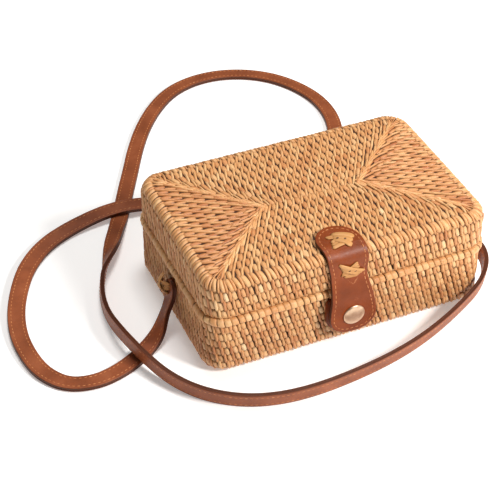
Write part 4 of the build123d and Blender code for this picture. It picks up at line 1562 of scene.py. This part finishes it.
strap_bands = (
    (((0.0, 2.0), (0.8, -10.4)), ((3.2, 2.0), (3.2, -9.4)), 0.8, 0.66),
    (((-5.6, 2.2), (5.6, 4.8)), ((-5.2, -3.4), (5.6, -0.6)), 2.8, 0.66),
    (((-1.4, 6.4), (5.4, -4.0)), ((-5.4, 4.6), (0.4, -6.4)), 4.0, 0.78),
)
strap_holes = ((-3.8, 0.2, 2.9), (3.4, 1.8, 3.1), (-1.2, 2.0, 4.6), (1.4, -2.4, 4.2))
for name, surface, node_name in (
    ("strap_tie_left", on_left, "strap_knot_left"),
    ("strap_tie_right", on_right, "strap_knot_right"),
):
    bundle = Bundle()
    knot(bundle, surface, strap_bands)
    pin_holes(bundle, surface, strap_holes, 1.3)
    made = bundle.build(name, straw)
    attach(made, "base")
    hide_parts(node_name)

# %% [markdown]
# Use has left its marks on the tab. Under the lower knot the leather has cracked into a pale crease in
# the shape of a V, where it bends each time that the bag is opened, and a few light scratches lie below
# it. They belong in these very places, so they are thin slivers of worn leather and not a noise in the
# material.


# %% Crease and scratches on the tab
def mark(bundle, places, half):
    """A thin raised line through places on the tab, each across and along from its top end."""
    places = np.array(places)
    share = np.linspace(0, 1, len(places) * 4)
    spots = np.linspace(0, 1, len(places))
    across = np.interp(share, spots, places[:, 0]) + 0.12 * np.sin(share * 23)
    along = np.interp(share, spots, places[:, 1]) + 0.12 * np.sin(share * 31)
    points, outward = on_tab(across, along, tab_thickness + 0.05 + 0 * across)
    fade = np.clip(np.minimum(share, 1 - share) * 5, 0.15, 1.0)
    bundle.add(points[None], outward[None], half * fade[None] * MM, 0.10 * MM, np.array([0.5]))


marks = Bundle()
for shift in (0.0, 0.75):
    left_arm = ((-2.4 + shift, 43.2), (0.0, 45.0 + shift))
    right_arm = ((3.6, 45.2 + shift), (5.6, 43.0))
    mark(marks, (*left_arm, (1.7, 47.2), *right_arm), 0.42)
mark(marks, ((1.6, 56.4), (3.9, 57.6)), 0.14)
mark(marks, ((2.2, 57.6), (4.3, 58.2)), 0.12)
mark(marks, ((0.8, 57.4), (2.0, 58.6)), 0.10)
tab_marks = marks.build("tab_marks", worn_leather)
place_on_tab(tab_marks)

# %% [markdown]
# The press stud's cap is pressed metal: a low dome with a rolled rim. A squashed sphere would have no
# rim, so the cap is a profile from the middle to the rim, spun round. Each point of it is a share of the
# radius and how far it lies behind the front, in millimetres.

# %% Cap of the press stud
cap_low, cap_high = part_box("snap_cap")
cap_x = (cap_low.x + cap_high.x) / 2
cap_z = (cap_low.z + cap_high.z) / 2
cap_radius = (cap_high.x - cap_low.x) / 2
cap_front = cap_low.y
cap_profile = (
    (0.0, 0.0),
    (0.2, 0.02),
    (0.4, 0.09),
    (0.58, 0.22),
    (0.74, 0.40),
    (0.86, 0.62),
    (0.94, 0.86),
    (0.985, 1.15),
    (1.0, 1.45),
    (0.99, 1.75),
    (0.96, 1.95),
)
cap_sides = 64
spin = np.linspace(0, 2 * math.pi, cap_sides, endpoint=False)
cap_points = [(cap_x, cap_front, cap_z)]
for reach, back_off in cap_profile[1:]:
    for angle in spin:
        x = cap_x + reach * cap_radius * math.cos(angle)
        z = cap_z + reach * cap_radius * math.sin(angle)
        cap_points.append((x, cap_front + back_off * MM, z))
cap_faces = [(0, 1 + k, 1 + (k + 1) % cap_sides) for k in range(cap_sides)]
for row in range(len(cap_profile) - 2):
    for k in range(cap_sides):
        a = 1 + row * cap_sides + k
        b = 1 + row * cap_sides + (k + 1) % cap_sides
        cap_faces.append((a, a + cap_sides, b + cap_sides, b))
cap_faces.append(tuple(range(len(cap_points) - cap_sides, len(cap_points))))
cap = mesh_object("stud_cap", cap_points, cap_faces, metal)
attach(cap, "tab_flap")
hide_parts("snap_cap")
print("cap", round(cap_radius * 2 / MM, 1), "mm across")

# %% [markdown]
# Two lashings at the back are the hinges: strands of grass looped several times through the last turn of
# the lid and the rim of the base. They go round the very line that the lid turns on, so full rings stay
# in their place at every angle of the lid.

# %% Lashings that hinge the lid
lashing_loops = 4
for name in ("hinge_lashing_left", "hinge_lashing_right"):
    low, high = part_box(name)
    centre_y = (low.y + high.y) / 2
    centre_z = (low.z + high.z) / 2
    outside = (high.y - low.y) / 2
    bundle = Bundle()
    angle = np.linspace(0, 2 * math.pi + 0.25, 26)
    loop_width = (high.x - low.x) / lashing_loops
    for k in range(lashing_loops):
        x = low.x + loop_width * (k + 0.5) + 0.2 * MM * np.sin(angle * 2 + k)
        reach = outside - 0.7 * MM + 0.15 * MM * np.sin(angle * 3 + 2 * k)
        points = np.stack([x, centre_y + reach * np.cos(angle), centre_z + reach * np.sin(angle)], -1)
        outward = np.stack([0 * angle, np.cos(angle), np.sin(angle)], -1)
        tone = np.array([0.6 + 0.08 * math.sin(5.0 * k)])
        bundle.add(points[None], outward[None], loop_width * 0.5, 0.9 * MM, tone)
    made = bundle.build(name + "_strands", grass)
    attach(made, "base")
    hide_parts(name)

# %% [markdown]
# Some CAD nodes are already the right shape: the linings, the leather patch behind the tab and the small
# parts of the press stud. They stay as they are, and only get their finish. The material goes on the
# object and not on its mesh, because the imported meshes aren't changed.


# %% Finishes for the nodes that stay
def finish(name, material):
    """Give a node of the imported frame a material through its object's slot."""
    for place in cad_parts[name].material_slots:
        place.link = "OBJECT"
        place.material = material


for name, material in (
    ("base_lining", cloth),
    ("lid_lining", cloth),
    ("socket_patch", leather),
    ("snap_stud", metal),
    ("snap_washer", metal),
    ("snap_socket", metal),
    ("patch_knot_upper", straw),
    ("patch_knot_lower", straw),
):
    finish(name, material)
    print("finish of", name, "is", material.name)
